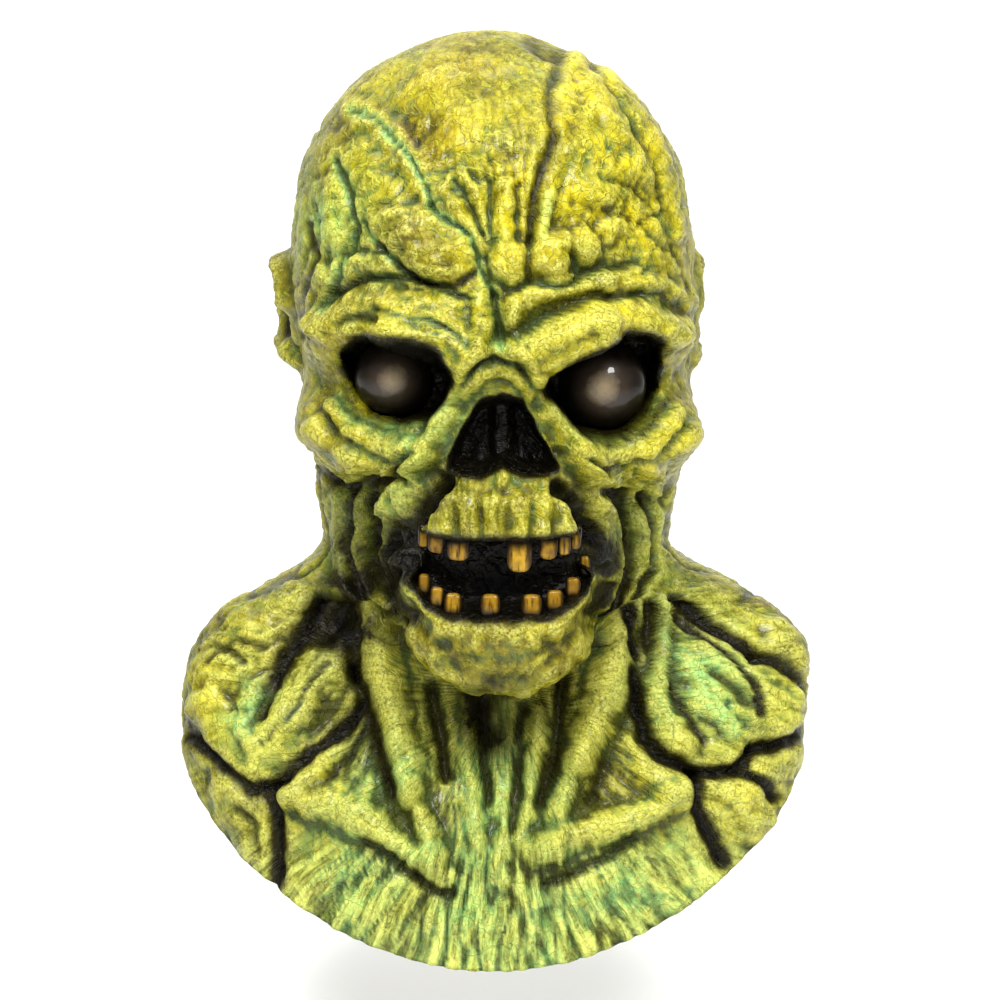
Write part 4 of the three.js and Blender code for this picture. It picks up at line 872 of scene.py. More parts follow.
    def wrinkle(self):
        """Directional wrinkles, fibres that fan out over the chest, and fine crackle all over."""
        places = photo_place(self.plain)
        sway = 6 * np.stack([noise(self.plain / 22, 15), noise(self.plain / 22, 19)], -1)
        calm = (1 - 0.85 * self.in_mouth) * self.wrinkles
        for flows, here in ((FLOWS, self.on_head), (BUST_FLOWS, 1 - self.on_head)):
            for k, flow in enumerate(flows):
                offset = places + sway - (flow.x, flow.y)
                weight = np.exp(-((offset**2).sum(-1)) / (2 * flow.spread**2)) * here * self.facing
                angle = math.radians(flow.angle)
                along = offset[..., 0] * math.cos(angle) - offset[..., 1] * math.sin(angle)
                across = offset[..., 0] * math.sin(angle) + offset[..., 1] * math.cos(angle)
                where = np.stack([along / (flow.size * flow.stretch), across / flow.size, 0 * along], -1)
                folds = 0.6 * layered(where / 2, 40 + 7 * k, 2) - 1.1 * creases(where / 1.6, 60 + k, 0.2)
                self.push(calm * weight * flow.depth * folds)
        offset = places - FAN_CENTRE
        radius = np.hypot(offset[..., 0] / FAN_WIDTH, offset[..., 1])
        bearing = np.arctan2(offset[..., 0], offset[..., 1])
        wavy = noise(self.plain / 30, 23)
        fan = np.stack([bearing * FIBRES_PER_RADIAN + 0.3 * wavy, radius / FIBRE_LENGTH, 0 * radius], -1)
        below = smooth((places[..., 1] - FAN_TOP) / 50) * smooth((radius - FAN_HOLE) / 50)
        shown = (1 - self.on_head) * self.facing
        close = smooth((np.cos(self.azimuths) - 0.66) / 0.26)[None, :]
        fibres = 0.9 * layered(fan, 80, 2) - 1.2 * creases(fan, 83, 0.22)
        self.push(calm * shown * close * below * FIBRE_DEPTH * fibres)
        self.fibres = 0.6 * shown * close * below * creases(fan, 83, 0.2)
        self.paint["fan"] = shown * np.maximum(below, 0.35)
        self.paint["bearing"] = bearing * STRANDS_PER_RADIAN + 1.2 * wavy
        self.paint["fan_radius"] = radius / STRAND_LENGTH
        behind = 1 - self.facing
        for k, (size, depth) in enumerate(CRACKLE):
            seed = 90 + 4 * k
            where = self.plain / size + 0.35 * noise(self.plain / size / 1.7, seed + 1)[..., None]
            folds = 0.5 * noise(where, seed) - (0.8 + 0.6 * behind) * creases(where, seed + 2)
            self.push(calm * depth * folds)
        self.push(calm * (0.8 + 0.7 * behind) * layered(self.plain / 34, 101, 3))
        veins = creases(self.plain / 44 + 0.3 * noise(self.plain / 20, 104)[..., None], 105, 0.1)
        self.push(calm * -1.8 * behind * veins)
        # Painted shade in the vein creases on the back and sides
        self.lay_paint_and_shade("dark", 0.5 * behind * veins)

    def painted_shade_and_colour(self):
        """Painted shade and mint paint in creases, lighter paint and painted highlights on raised places,
        and patches of colour and of painted shade.
        """
        places = photo_place(self.plain)
        blotch = 0.5 + 0.7 * layered(self.plain / 26, 111, 4)
        # Patches of colour; the dark ones are painted shade in hollows and creases, under the jaw and round
        # the sockets
        for patch in PATCHES:
            distance = np.linalg.norm(places - (patch.x, patch.y), axis=-1) / patch.radius
            amount = patch.strength * np.exp(-(distance**2)) * self.facing * np.clip(blotch + 0.2, 0, 1.3)
            self.lay_paint_and_shade(patch.paint, np.clip(amount, 0, 1))
        clouds = smooth((layered(self.plain / 40, 121) - 0.1) / 0.5)
        self.lay_paint_and_shade("brown", (1 - self.facing) * clouds * 0.7)
        # Black paint and painted shade in the holes, and painted shade in the creases of the chest fibres
        self.lay_paint_and_shade("dark", self.hole_dark)
        self.lay_paint_and_shade("dark", 0.5 * self.fibres)
        # Painted shade in the creases, deepest in broad hollows, and on raised places a lighter colour that
        # is partly dry-brushed paint and partly a painted highlight
        fine = self.relief - blurred(self.relief, 6)
        broad = self.relief - 0.4 * self.sunk
        broad = broad - blurred(broad, 50)
        cavity = np.clip(-fine / 0.9, 0, 1) * 0.7 + np.clip(-broad / 4, 0, 1) * 0.6
        self.paint["cavity"] = np.clip(cavity, 0, 1)
        self.paint["ridge"] = np.clip(fine / 0.8, 0, 1)
        greenish = smooth((layered(self.plain / 30, 131) + 0.15) / 0.4)
        creased = np.clip(-fine / 0.7, 0, 1)
        glaze = 0.4 * greenish * creased + 0.5 * self.fibres * greenish
        self.paint["mint"] = np.clip(self.paint["mint"] + glaze, 0, 1)
        self.paint["wet"] = self.wet

    def seat_eyes(self):
        """The skin inside an eye goes round behind it."""
        for node in ("right_eye", "left_eye"):
            centre, radius = eye_ball(node)
            radius += 0.5
            offset = self.points - centre
            flat = np.hypot(offset[..., 0], offset[..., 2])
            behind = np.sqrt(np.maximum(radius**2 - flat**2, 0)) * 0.45
            ahead = -np.sqrt(np.maximum(radius**2 - flat**2, 0)) - 0.5
            inside = (flat < radius) & (self.facing > 0) & (self.on_head > 0.5)
            inside &= (offset[..., 1] > ahead) & (offset[..., 1] < behind)
            self.points[..., 1] = np.where(inside, centre[1] + behind, self.points[..., 1])


def grid_faces(rows, columns, first, flip):
    """Quads between the rows of a grid that is closed round its columns."""
    corner = first + np.arange((rows - 1) * columns).reshape(rows - 1, columns)
    beside = np.roll(corner, -1, axis=1)
    order = [corner, corner + columns, beside + columns, beside]
    faces = np.stack(order[::-1] if flip else order, -1)
    return faces.reshape(-1, 4).tolist()


def new_piece(name, mesh, material, nodes):
    """A mesh as a piece that stands for nodes of the part."""
    for polygon in mesh.polygons:
        polygon.use_smooth = True
    mesh.materials.clear()
    mesh.materials.append(material)
    piece = bpy.data.objects.new(name, mesh)
    bpy.context.scene.collection.objects.link(piece)
    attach(piece, "root")
    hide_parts(*nodes)


def store(mesh, name, values):
    """A value per point that a material reads by name."""
    layer = mesh.attributes.new(name, "FLOAT", "POINT")
    layer.data.foreach_set("value", np.asarray(values, dtype=np.float32).ravel())


def skin_mesh(skin):
    """The outside at full resolution and a plainer inside, joined round the cut edge."""
    outer = skin.points[1:]
    rows, columns = outer.shape[:2]
    raised = blurred(lowest_near(skin.relief, INNER_REACH), INNER_BLUR) - WALL
    sunk = blurred(-lowest_near(-skin.sunk, INNER_REACH), INNER_BLUR)
    inside = skin.plain + skin.normals * raised[..., None] + sunk[..., None] * np.array((0, 1, 0))
    picked = list(range(skin.points.shape[0] - 1, 0, -INNER_STEP))[::-1]
    inner = inside[picked][:, ::INNER_STEP]
    inner[-1] = (skin.points[-1] - skin.normals[-1] * WALL)[::INNER_STEP]
    inner_rows, inner_columns = inner.shape[:2]
    poles = [skin.points[0, 0], skin.points[0, 0] - (0, 0, WALL)]
    points = np.concatenate([outer.reshape(-1, 3), inner.reshape(-1, 3), poles])
    first = rows * columns
    outer_pole = first + inner_rows * inner_columns
    faces = grid_faces(rows, columns, 0, False) + grid_faces(inner_rows, inner_columns, first, True)
    for k in range(columns):
        faces.append([outer_pole, k, (k + 1) % columns])
    for k in range(inner_columns):
        beside = (k + 1) % inner_columns
        faces.append([outer_pole + 1, first + beside, first + k])
        edge = [(rows - 1) * columns + (k * INNER_STEP + step) % columns for step in range(INNER_STEP + 1)]
        rim = first + (inner_rows - 1) * inner_columns
        faces += [[edge[0], rim + k, edge[1]], [edge[1], rim + k, edge[2]]]
        faces += [[edge[2], rim + k, rim + beside], [edge[2], rim + beside, edge[3]]]
        faces.append([edge[3], rim + beside, edge[4]])
    mesh = bpy.data.meshes.new("latex skin")
    mesh.from_pydata((points * MM).tolist(), [], faces)
    within = inner_rows * inner_columns
    for name, field in skin.paint.items():
        store(mesh, name, np.concatenate([field[1:].ravel(), np.zeros(within), field[0, :1], [0]]))
    store(mesh, "inside", np.concatenate([np.zeros(first), np.ones(within), [0, 1]]))
    return mesh


def eye_mesh(node):
    """A ball with a flat back and, per point, how far it lies off the line of sight."""
    centre, radius = eye_ball(node)
    low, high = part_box(node)
    back = high[1] / MM - centre[1]
    reach = math.acos(-back / radius)
    rings, spokes = 48, 72
    angle = np.linspace(0, reach, rings + 1)[1:]
    turn = 2 * np.pi * np.arange(spokes) / spokes
    out = radius * np.sin(angle)[:, None]
    ahead = np.broadcast_to(-radius * np.cos(angle)[:, None], (rings, spokes))
    ball = np.stack([out * np.cos(turn), ahead, out * np.sin(turn)], -1)
    points = np.concatenate([ball.reshape(-1, 3), [(0, -radius, 0), (0, back, 0)]]) + centre
    faces = grid_faces(rings, spokes, 0, False)
    front, rear = rings * spokes, rings * spokes + 1
    last = (rings - 1) * spokes
    for k in range(spokes):
        beside = (k + 1) % spokes
        faces.append([front, k, beside])
        faces.append([rear, last + beside, last + k])
    mesh = bpy.data.meshes.new(node)
    mesh.from_pydata((points * MM).tolist(), [], faces)
    off = np.concatenate([np.repeat(angle / (np.pi / 2), spokes), [0, 1]])
    store(mesh, "off_axis", off)
    return mesh


def add(tree, kind, inputs=None, out=0, **settings):
    """Adds a node with its settings and inputs, and returns the output that is taken from it.

    An input that is a socket is linked, and a plain value is set.
    """
    node = tree.nodes.new(kind)
    for name, value in settings.items():
        setattr(node, name, value)
    for key, value in (inputs or {}).items():
        socket = node.inputs[key]
        if isinstance(value, bpy.types.NodeSocket):
            tree.links.new(value, socket)
        else:
            socket.default_value = value
    return node.outputs[out] if node.outputs else None


def per_metre(size_mm):
    """The texture scale, in object coordinates, at which one cell has this size."""
    return 1 / (size_mm * MM)


def fresh_material(name, mottlings=(), attributes=()):
    """An empty material, its tree and its patterns by name: noise on the object and attributes."""
    material = bpy.data.materials.new(name)
    material.use_nodes = True
    tree = material.node_tree
    tree.nodes.clear()
    pattern = {}
    if mottlings:
        pattern["object"] = add(tree, "ShaderNodeTexCoord", out="Object")
    for mottling in mottlings:
        place = pattern["object"]
        if mottling.squash < 1:
            inputs = {"Vector": place, "Scale": (1, 1, mottling.squash)}
            place = add(tree, "ShaderNodeMapping", inputs)
        inputs = {
            "Vector": place,
            "Scale": per_metre(mottling.size_mm),
            "Detail": mottling.detail,
            "Roughness": mottling.roughness,
            "Distortion": mottling.distortion,
        }
        pattern[mottling.name] = add(tree, "ShaderNodeTexNoise", inputs)
    for attribute in attributes:
        pattern[attribute] = add(tree, "ShaderNodeAttribute", out="Fac", attribute_name=attribute)
    return material, tree, pattern


def glazed(tree, pattern, settings, base, glazes):
    """The base colour under its glazes, and how thickly each glaze lies.

    A colour is a hex value or the name of a setting.
    """

    def mixed(colour):
        return srgb(colour) if colour.startswith("#") else getattr(settings, colour)

    colour, thickness = mixed(base), {}
    for glaze in glazes:
        span = {1: glaze.low, 2: glaze.high, 3: glaze.least, 4: glaze.most}
        amount = add(tree, "ShaderNodeMapRange", {"Value": pattern[glaze.pattern], **span})
        if glaze.where:
            inputs = {0: amount, 1: pattern[glaze.where]}
            amount = add(tree, "ShaderNodeMath", inputs, operation="MULTIPLY", use_clamp=True)
        thickness[glaze.name] = amount
        if glaze.strength < 1:
            inputs = {0: amount, 1: glaze.strength}
            amount = add(tree, "ShaderNodeMath", inputs, operation="MULTIPLY")
        inputs = {0: amount, 6: colour, 7: mixed(glaze.colour)}
        colour = add(tree, "ShaderNodeMix", inputs, out=2, data_type="RGBA")
    return colour, thickness


def finished(material, tree, inputs):
    """The material with its shader, which takes these inputs."""
    surface = add(tree, "ShaderNodeBsdfPrincipled", inputs)
    add(tree, "ShaderNodeOutputMaterial", {"Surface": surface})
    return material


# Noise on the object: the size of its cells in millimetres. A squash below 1 draws it out downwards.
Mottling = namedtuple("Mottling", "name size_mm detail roughness distortion squash")

# Glazes from the bottom up. A glaze lies where an attribute is, or all over where that is None, as
# thickly as a pattern says when it is taken from low and high to least and most, and its strength
# says how much of its colour shows.
Glaze = namedtuple("Glaze", "name colour where pattern low high least most strength")

LATEX_MOTTLINGS = [
    Mottling("clouds", 22, 5.0, 0.62, 0.0, 1),
    Mottling("stains", 13, 6.0, 0.7, 0.0, 1),
    Mottling("patches", 9, 3.0, 0.5, 0.0, 1),
    Mottling("speckle", 4, 5.0, 0.68, 0.0, 1),
    Mottling("grain", 1.6, 3.0, 0.6, 0.0, 1),
]
LATEX_ATTRIBUTES = "dark mint brown yellow cavity ridge wet inside fan bearing fan_radius".split()
LATEX_GLAZES = [
    Glaze("olive", "#8c8608", None, "clouds", 0.38, 0.6, 0, 1, 1),
    Glaze("lime specks", "#a9a012", None, "speckle", 0.45, 0.72, 0, 1, 1),
    Glaze("yellow", "skin_yellow", "yellow", "clouds", 0.34, 0.52, 0, 1, 1),
    Glaze("dark stains", "#383303", None, "stains", 0.52, 0.66, 0, 1, 0.8),
    # Painted shade in bands beside the curling lines, and along the lines a lighter colour, partly
    # dry-brushed paint and partly a painted highlight
    Glaze("painted shade beside the curls", "#4c4a05", None, "painted shade beside the curls", 0, 1, 0, 1, 0.35),
    Glaze("curls", "#d0d040", None, "curls", 0, 1, 0, 1, 0.5),
    # Along the chest fibres a lighter colour, partly paint and partly a painted highlight, and painted
    # shade between them
    Glaze("strands", "#dbe372", "fan", "strands", 0.38, 0.62, 0, 1, 0.85),
    Glaze("painted shade between the strands", "#2f3607", "fan", "strands", 0.34, 0.5, 1, 0, 0.68),
    Glaze("brown", "#553a07", "brown", "speckle", 0.34, 0.6, 0, 1, 1),
    Glaze("mint", "skin_mint", "mint", "speckle", 0.3, 0.58, 0, 1, 1),
    # A lighter colour on raised places, partly dry-brushed paint and partly a painted highlight
    Glaze("dry brushing and painted highlight", "#d8d568", "ridge", "grain", 0.36, 0.6, 0, 1, 0.6),
    Glaze("crackle", "#3a3b06", None, "off the cracks", 0, 0.12, 1, 0, 0.2),
    # Painted shade in the creases and hollows
    Glaze("wash in the creases", "#23260a", "cavity", "speckle", 0.25, 0.6, 0.65, 1.25, 0.85),
    # The dark attribute in a thin and a thick layer: black paint in the holes and veins, painted shade in
    # the grooves, gaps and hollows
    Glaze("black, thin", "#2a2708", None, "black", 0.12, 0.62, 0, 1, 1),
    Glaze("black, thick", "#070604", None, "black", 0.5, 1, 0, 1, 1),
    Glaze("bare latex", "#8f8a5c", None, "inside", 0, 1, 0, 1, 1),
]
LATEX_HEIGHTS = {
    "speckle": 1.2,
    "grain": 0.4,
    "curls": 0.9,
    "strands": 1.5,
    "painted shade between the strands": -1.5,
    "crackle": -0.2,
}

# The curling lines are contours of a noise: its cell in millimetres, the lines across its range, and
# half the width of a line where 1 is the middle between two lines
CURLS = [(24, 7, 0.16), (11, 5, 0.14)]
CURL_SHADE = 2.2
CURL_SWAY = 5 * MM
FINE_CURL_SHARE = 0.7


def curling_lines(tree, place):
    """Lines that curl over the skin, and the narrow bands of painted shade beside them."""
    lines, bands = [], []
    for size_mm, count, width in CURLS:
        inputs = {"Vector": place, "Scale": per_metre(size_mm), "Detail": 1.5, "Distortion": 0.6}
        winding = add(tree, "ShaderNodeTexNoise", inputs)
        risen = add(tree, "ShaderNodeMath", {0: winding, 1: 2.0 * count}, operation="MULTIPLY")
        off_line = add(tree, "ShaderNodeMath", {0: risen, 1: 1.0}, operation="PINGPONG")
        lines.append(add(tree, "ShaderNodeMapRange", {"Value": off_line, 2: width, 3: 1.0, 4: 0.0}))
        beside = {"Value": off_line, 1: width, 2: CURL_SHADE * width, 3: 1.0, 4: 0.0}
        bands.append(add(tree, "ShaderNodeMapRange", beside))
    fine = add(tree, "ShaderNodeMath", {0: lines[1], 1: FINE_CURL_SHARE}, operation="MULTIPLY")
    line = add(tree, "ShaderNodeMath", {0: lines[0], 1: fine}, operation="MAXIMUM")
    band = add(tree, "ShaderNodeMath", {0: bands[0], 1: bands[1]}, operation="MAXIMUM")
    return line, add(tree, "ShaderNodeMath", {0: band, 1: line}, operation="SUBTRACT", use_clamp=True)


def painted_latex(settings):
    """Cast latex with brushed-on paint: olive under yellow-green, brown and mint glazes, black paint and
    painted shade in the creases and holes, a lighter colour on the ridges, curls and fibres that is partly
    dry-brushed paint and partly a painted highlight, and an uneven satin varnish."""
    material, tree, pattern = fresh_material("painted latex", LATEX_MOTTLINGS, LATEX_ATTRIBUTES)
    inputs = {"Vector": pattern["object"], "Scale": per_metre(5), "Detail": 2.0}
    swirl = add(tree, "ShaderNodeTexNoise", inputs, out="Color")
    inputs = {0: swirl, 1: (CURL_SWAY,) * 3, 2: (-CURL_SWAY / 2,) * 3}
    sway = add(tree, "ShaderNodeVectorMath", inputs, operation="MULTIPLY_ADD")
    bent = add(tree, "ShaderNodeVectorMath", {0: pattern["object"], 1: sway}, operation="ADD")
    pattern["curls"], pattern["painted shade beside the curls"] = curling_lines(tree, bent)
    cracks = {"Vector": bent, "Scale": per_metre(3.6)}
    pattern["off the cracks"] = add(tree, "ShaderNodeTexVoronoi", cracks, feature="DISTANCE_TO_EDGE")
    fan_place = add(tree, "ShaderNodeCombineXYZ", {0: pattern["bearing"], 1: pattern["fan_radius"]})
    pattern["strands"] = add(tree, "ShaderNodeTexNoise", {"Vector": fan_place, "Scale": 1.0, "Detail": 3.0})
    # Black paint and painted shade from the dark attribute, ragged at their edges
    ragged = add(tree, "ShaderNodeMapRange", {"Value": pattern["speckle"], 3: 0.55, 4: 1.45})
    pattern["black"] = add(tree, "ShaderNodeMath", {0: pattern["dark"], 1: ragged}, operation="MULTIPLY")
    colour, thickness = glazed(tree, pattern, settings, "#535604", LATEX_GLAZES)
    layers = {**pattern, **thickness}
    height = 0.0
    for name, share in LATEX_HEIGHTS.items():
        inputs = {0: layers[name], 1: share, 2: height}
        height = add(tree, "ShaderNodeMath", inputs, operation="MULTIPLY_ADD")
    bump = add(tree, "ShaderNodeBump", {"Strength": 0.85, "Distance": 0.7 * MM, "Height": height})
    wetness = add(tree, "ShaderNodeMath", {0: pattern["wet"], 1: 0.85}, operation="MULTIPLY")
    inputs = {"Value": pattern["patches"], 1: 0.3, 2: 0.7, 3: 0.24, 4: 0.42}
    roughness = add(tree, "ShaderNodeMapRange", inputs)
    for amount, value in ((wetness, 0.16), (pattern["inside"], 0.7)):
        roughness = add(tree, "ShaderNodeMix", {0: amount, 2: roughness, 3: value}, data_type="FLOAT")
    inputs = {0: pattern["inside"], 1: pattern["dark"]}
    bare = add(tree, "ShaderNodeMath", inputs, operation="MAXIMUM")
    varnished = add(tree, "ShaderNodeMath", {0: 1.0, 1: bare}, operation="SUBTRACT")
    inputs = {"Value": pattern["patches"], 1: 0.4, 2: 0.6, 3: 0.03, 4: 0.24}
    coat = add(tree, "ShaderNodeMapRange", inputs)
    inputs = {
        "Base Color": colour,
        "Roughness": roughness,
        "IOR": 1.5,
        "Specular IOR Level": 0.13,
        "Normal": bump,
        "Coat Weight": add(tree, "ShaderNodeMath", {0: coat, 1: varnished}, operation="MULTIPLY"),
        "Coat Roughness": 0.18,
    }
    return finished(material, tree, inputs)


ACRYLIC_MOTTLINGS = [
    Mottling("cloud", 5, 4.0, 0.65, 0.0, 1),
    Mottling("veins", 1.6, 3.0, 0.5, 1.5, 1),
]
ACRYLIC_GLAZES = [
    Glaze("brown ring", "#3b3128", None, "off the pupil", 0.06, 0.27, 0, 1, 1),
    Glaze("dark ring", "#1e1813", None, "off the pupil", 0.24, 0.5, 0, 1, 1),
    Glaze("outer dark", "#0d0907", None, "off the pupil", 0.5, 0.85, 0, 1, 1),
    Glaze("veins", "#201812", None, "veins", 0.55, 0.75, 0, 1, 0.3),
]


def coated_acrylic(settings):
    """Acrylic under a clear coat: a cloudy beige pupil fades into dark brown, with wet highlights."""
    material, tree, pattern = fresh_material("clear-coated acrylic", ACRYLIC_MOTTLINGS, ["off_axis"])
    wobble = add(tree, "ShaderNodeMapRange", {"Value": pattern["cloud"], 3: -0.08, 4: 0.08})
    pupil = {0: pattern["off_axis"], 1: wobble}
    pattern["off the pupil"] = add(tree, "ShaderNodeMath", pupil, operation="ADD")
    colour, _ = glazed(tree, pattern, settings, "pupil_beige", ACRYLIC_GLAZES)
    inputs = {
        "Base Color": colour,
        "Roughness": 0.35,
        "IOR": 1.49,
        "Specular IOR Level": 0.1,
        "Coat Weight": 0.4,
        "Coat Roughness": 0.03,
        "Coat IOR": 1.5,
    }
    return finished(material, tree, inputs)


RESIN_MOTTLINGS = [
    Mottling("streaks", 1.5, 3.0, 0.6, 0.0, 0.16),
    Mottling("clouds", 3, 3.0, 0.5, 0.0, 1),
]
RESIN_GLAZES = [
    Glaze("light amber", "tooth_amber", None, "tone", 0, 1, 0, 1, 1),
    Glaze("brown clouds", "#604508", None, "clouds", 0.4, 0.7, 0, 1, 0.6),
    Glaze("streaks", "#241005", None, "streaks", 0.52, 0.68, 0, 1, 0.85),
    Glaze("sides", "#1c0d03", None, "rim", 0.52, 0.92, 0, 1, 0.92),
    Glaze("gum line", "#0e0603", None, "along", 0.5, 0.74, 0, 1, 0.97),
]


def amber_resin(settings):
    """Glossy cast resin, amber with dark brown streaks down each tooth and a stained gum line."""
    material, tree, pattern = fresh_material("amber resin", RESIN_MOTTLINGS, ["tone", "rim", "along"])
    colour, _ = glazed(tree, pattern, settings, "#86620f", RESIN_GLAZES)
    relief = {"Strength": 0.5, "Distance": 0.25 * MM, "Height": pattern["streaks"]}
    inputs = {
        "Base Color": colour,
        "Roughness": 0.28,
        "IOR": 1.45,
        "Specular IOR Level": 0.15,
        "Normal": add(tree, "ShaderNodeBump", relief),
        "Coat Weight": 0.18,
        "Coat Roughness": 0.1,
    }
    return finished(material, tree, inputs)


def pale_paper():
    """Matt white paper, plain all over."""
    material, tree, _ = fresh_material("pale paper")
    return finished(material, tree, {"Base Color": srgb("#f4f4f2"), "Roughness": 0.9})


def teeth_tree():
    """One rounded tooth, set at every point of a mesh that says its size, turn and tone."""
    tree = bpy.data.node_groups.new("Teeth on points", "GeometryNodeTree")
    sockets = [
        ("Points", "INPUT", "NodeSocketGeometry", None),
        ("Edge sharpness", "INPUT", "NodeSocketFloat", 0.3),
        ("Unevenness", "INPUT", "NodeSocketFloat", 0.0006),
        ("Seed", "INPUT", "NodeSocketInt", SEED),
        ("Material", "INPUT", "NodeSocketMaterial", None),
        ("Teeth", "OUTPUT", "NodeSocketGeometry", None),
    ]
    for name, way, kind, value in sockets:
        socket = tree.interface.new_socket(name, in_out=way, socket_type=kind)
        if value is not None:
            socket.default_value = value
    given = add(tree, "NodeGroupInput").node.outputs
    block = add(tree, "GeometryNodeMeshCube", {"Size": (1, 1, 1)}, out="Mesh")
    place = add(tree, "GeometryNodeInputPosition")
    parts = add(tree, "ShaderNodeSeparateXYZ", {0: place}).node.outputs
    inputs = {"Mesh": block, "Level": 4, "Edge Crease": given["Edge sharpness"]}
    tooth = add(tree, "GeometryNodeSubdivisionSurface", inputs)
    along = add(tree, "ShaderNodeMath", {0: parts["Z"], 1: 0.5}, operation="ADD")
    aside = add(tree, "ShaderNodeMath", {0: parts["X"]}, operation="ABSOLUTE")
    rim = add(tree, "ShaderNodeMath", {0: aside, 1: 2.3}, operation="MULTIPLY")
    for name, value in (("along", along), ("rim", rim)):
        inputs = {"Geometry": tooth, "Name": name, "Value": value}
        tooth = add(tree, "GeometryNodeStoreNamedAttribute", inputs, data_type="FLOAT", domain="POINT")
    size, turn = (
        add(tree, "GeometryNodeInputNamedAttribute", {"Name": name}, data_type="FLOAT_VECTOR")
        for name in ("size", "turn")
    )
    rotation = add(tree, "FunctionNodeEulerToRotation", {0: turn})
    inputs = {"Points": given["Points"], "Instance": tooth, "Rotation": rotation, "Scale": size}
    instances = add(tree, "GeometryNodeInstanceOnPoints", inputs)
    teeth = add(tree, "GeometryNodeRealizeInstances", {0: instances})
    seed = add(tree, "ShaderNodeCombineXYZ", {0: given["Seed"]})
    shifted = add(tree, "ShaderNodeVectorMath", {0: place, 1: seed}, operation="ADD")
    inputs = {"Vector": shifted, "Scale": per_metre(4), "Detail": 2.0}
    lumps = add(tree, "ShaderNodeTexNoise", inputs, out="Color")
    centred = add(tree, "ShaderNodeVectorMath", {0: lumps, 1: (0.5, 0.5, 0.5)}, operation="SUBTRACT")
    inputs = {0: centred, "Scale": given["Unevenness"]}
    offset = add(tree, "ShaderNodeVectorMath", inputs, operation="SCALE")
    uneven = add(tree, "GeometryNodeSetPosition", {"Geometry": teeth, "Offset": offset})
    done = add(tree, "GeometryNodeSetMaterial", {"Geometry": uneven, "Material": given["Material"]})
    add(tree, "NodeGroupOutput", {0: done})
    return tree


def tooth_points(nodes, upper, rng, swell):
    """A point for each tooth of the part, with its size, turn and tone."""
    places, sizes, turns = [], [], []
    for node in nodes:
        low, high = (np.array(corner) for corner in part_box(node))
        places.append((low + high) / 2)
        sizes.append((high - low) * (1 + swell, 1.0, 1.0))
        upright = 0 if upper else np.pi
        turns.append((rng.normal(0, 0.03), upright + rng.normal(0, 0.07), rng.normal(0, 0.1)))
    mesh = bpy.data.meshes.new("tooth places")
    mesh.from_pydata(places, [], [])
    for name, rows in (("size", sizes), ("turn", turns)):
        layer = mesh.attributes.new(name, "FLOAT_VECTOR", "POINT")
        layer.data.foreach_set("vector", np.array(rows, dtype=np.float32).ravel())
    store(mesh, "tone", rng.random(len(nodes)))
    return mesh


def teeth_piece(name, nodes, upper, settings, material):
    """A row of teeth, grown by the node tree on the places of the part's teeth."""
    rng = np.random.default_rng(SEED + settings.seed + upper)
    holder = bpy.data.objects.new("tooth places", tooth_points(nodes, upper, rng, settings.tooth_swell))
    bpy.context.scene.collection.objects.link(holder)
    modifier = holder.modifiers.new("Teeth", "NODES")
    modifier.node_group = teeth_tree()
    given = {
        "Edge sharpness": settings.tooth_sharpness,
        "Unevenness": settings.tooth_unevenness,
        "Seed": settings.seed,
        "Material": material,
    }
    for item in modifier.node_group.interface.items_tree:
        if item.item_type == "SOCKET" and item.name in given:
            modifier[item.identifier] = given[item.name]
    holder.update_tag()
    bpy.context.view_layer.update()
    evaluated = holder.evaluated_get(bpy.context.evaluated_depsgraph_get())
    mesh = bpy.data.meshes.new_from_object(evaluated)
    mesh.name = name
    holder.modifiers.clear()
    bpy.data.objects.remove(holder)
    if not mesh.polygons:
        raise RuntimeError(name + " came out empty")
    new_piece(name, mesh, material, nodes)


# The lamps, in metres and watts: one without an aim of its own looks at the mask
Lamp = namedtuple("Lamp", "name place aim width height watts")
LAMPS = [
    Lamp("key lamp", (-0.5, -1.1, 0.95), None, 0.45, 0.45, 24),
    Lamp("fill lamp", (0.6, -1.1, 0.85), None, 0.45, 0.45, 21.5),
    Lamp("top lamp", (0, -0.4, 1.0), None, 0.8, 0.4, 7),
    Lamp("glint lamp", (0.02, -1.2, 0.42), None, 0.16, 0.07, 1.6),
    Lamp("wall lamp", (0, 0.9, 2.4), (0, 2.6, -0.2), 5.0, 1.0, 115),
]


def area_light(name, place, aim, width, height, watts):
    """A soft rectangular lamp that looks at a point."""
    light = bpy.data.lights.new(name, "AREA")
    light.shape = "RECTANGLE"
    light.size, light.size_y = width, height
    light.energy = watts
    lamp = bpy.data.objects.new(name, light)
    lamp.location = place
    lamp.rotation_euler = (Vector(aim) - Vector(place)).to_track_quat("-Z", "Y").to_euler()
    bpy.context.scene.collection.objects.link(lamp)


def paper_sweep(floor_z):
    """A floor that curves up into a wall behind the mask."""
    half, wall, radius, top, steps = 6.0, 3.0, 1.2, 5.0, 24
    profile = [(-4.0, floor_z)]
    for k in range(steps + 1):
        angle = math.pi / 2 * k / steps
        y = wall - radius + radius * math.sin(angle)
        profile.append((y, floor_z + radius - radius * math.cos(angle)))
    profile.append((wall, top))
    points = [(x, y, z) for y, z in profile for x in (-half, half)]
    faces = [(2 * k, 2 * k + 1, 2 * k + 3, 2 * k + 2) for k in range(len(profile) - 1)]
    mesh = bpy.data.meshes.new("paper sweep")
    mesh.from_pydata(points, [], faces)
    for polygon in mesh.polygons:
        polygon.use_smooth = True
    mesh.materials.append(pale_paper())
    sweep = bpy.data.objects.new("paper sweep", mesh)
    bpy.context.scene.collection.objects.link(sweep)
    return sweep


def colour_property(name, description, code):
    """A colour that can be changed, with a hex value as its default."""
    return bpy.props.FloatVectorProperty(
        name=name, description=description, default=srgb(code), size=4, min=0.0, max=1.0, subtype="COLOR"
    )


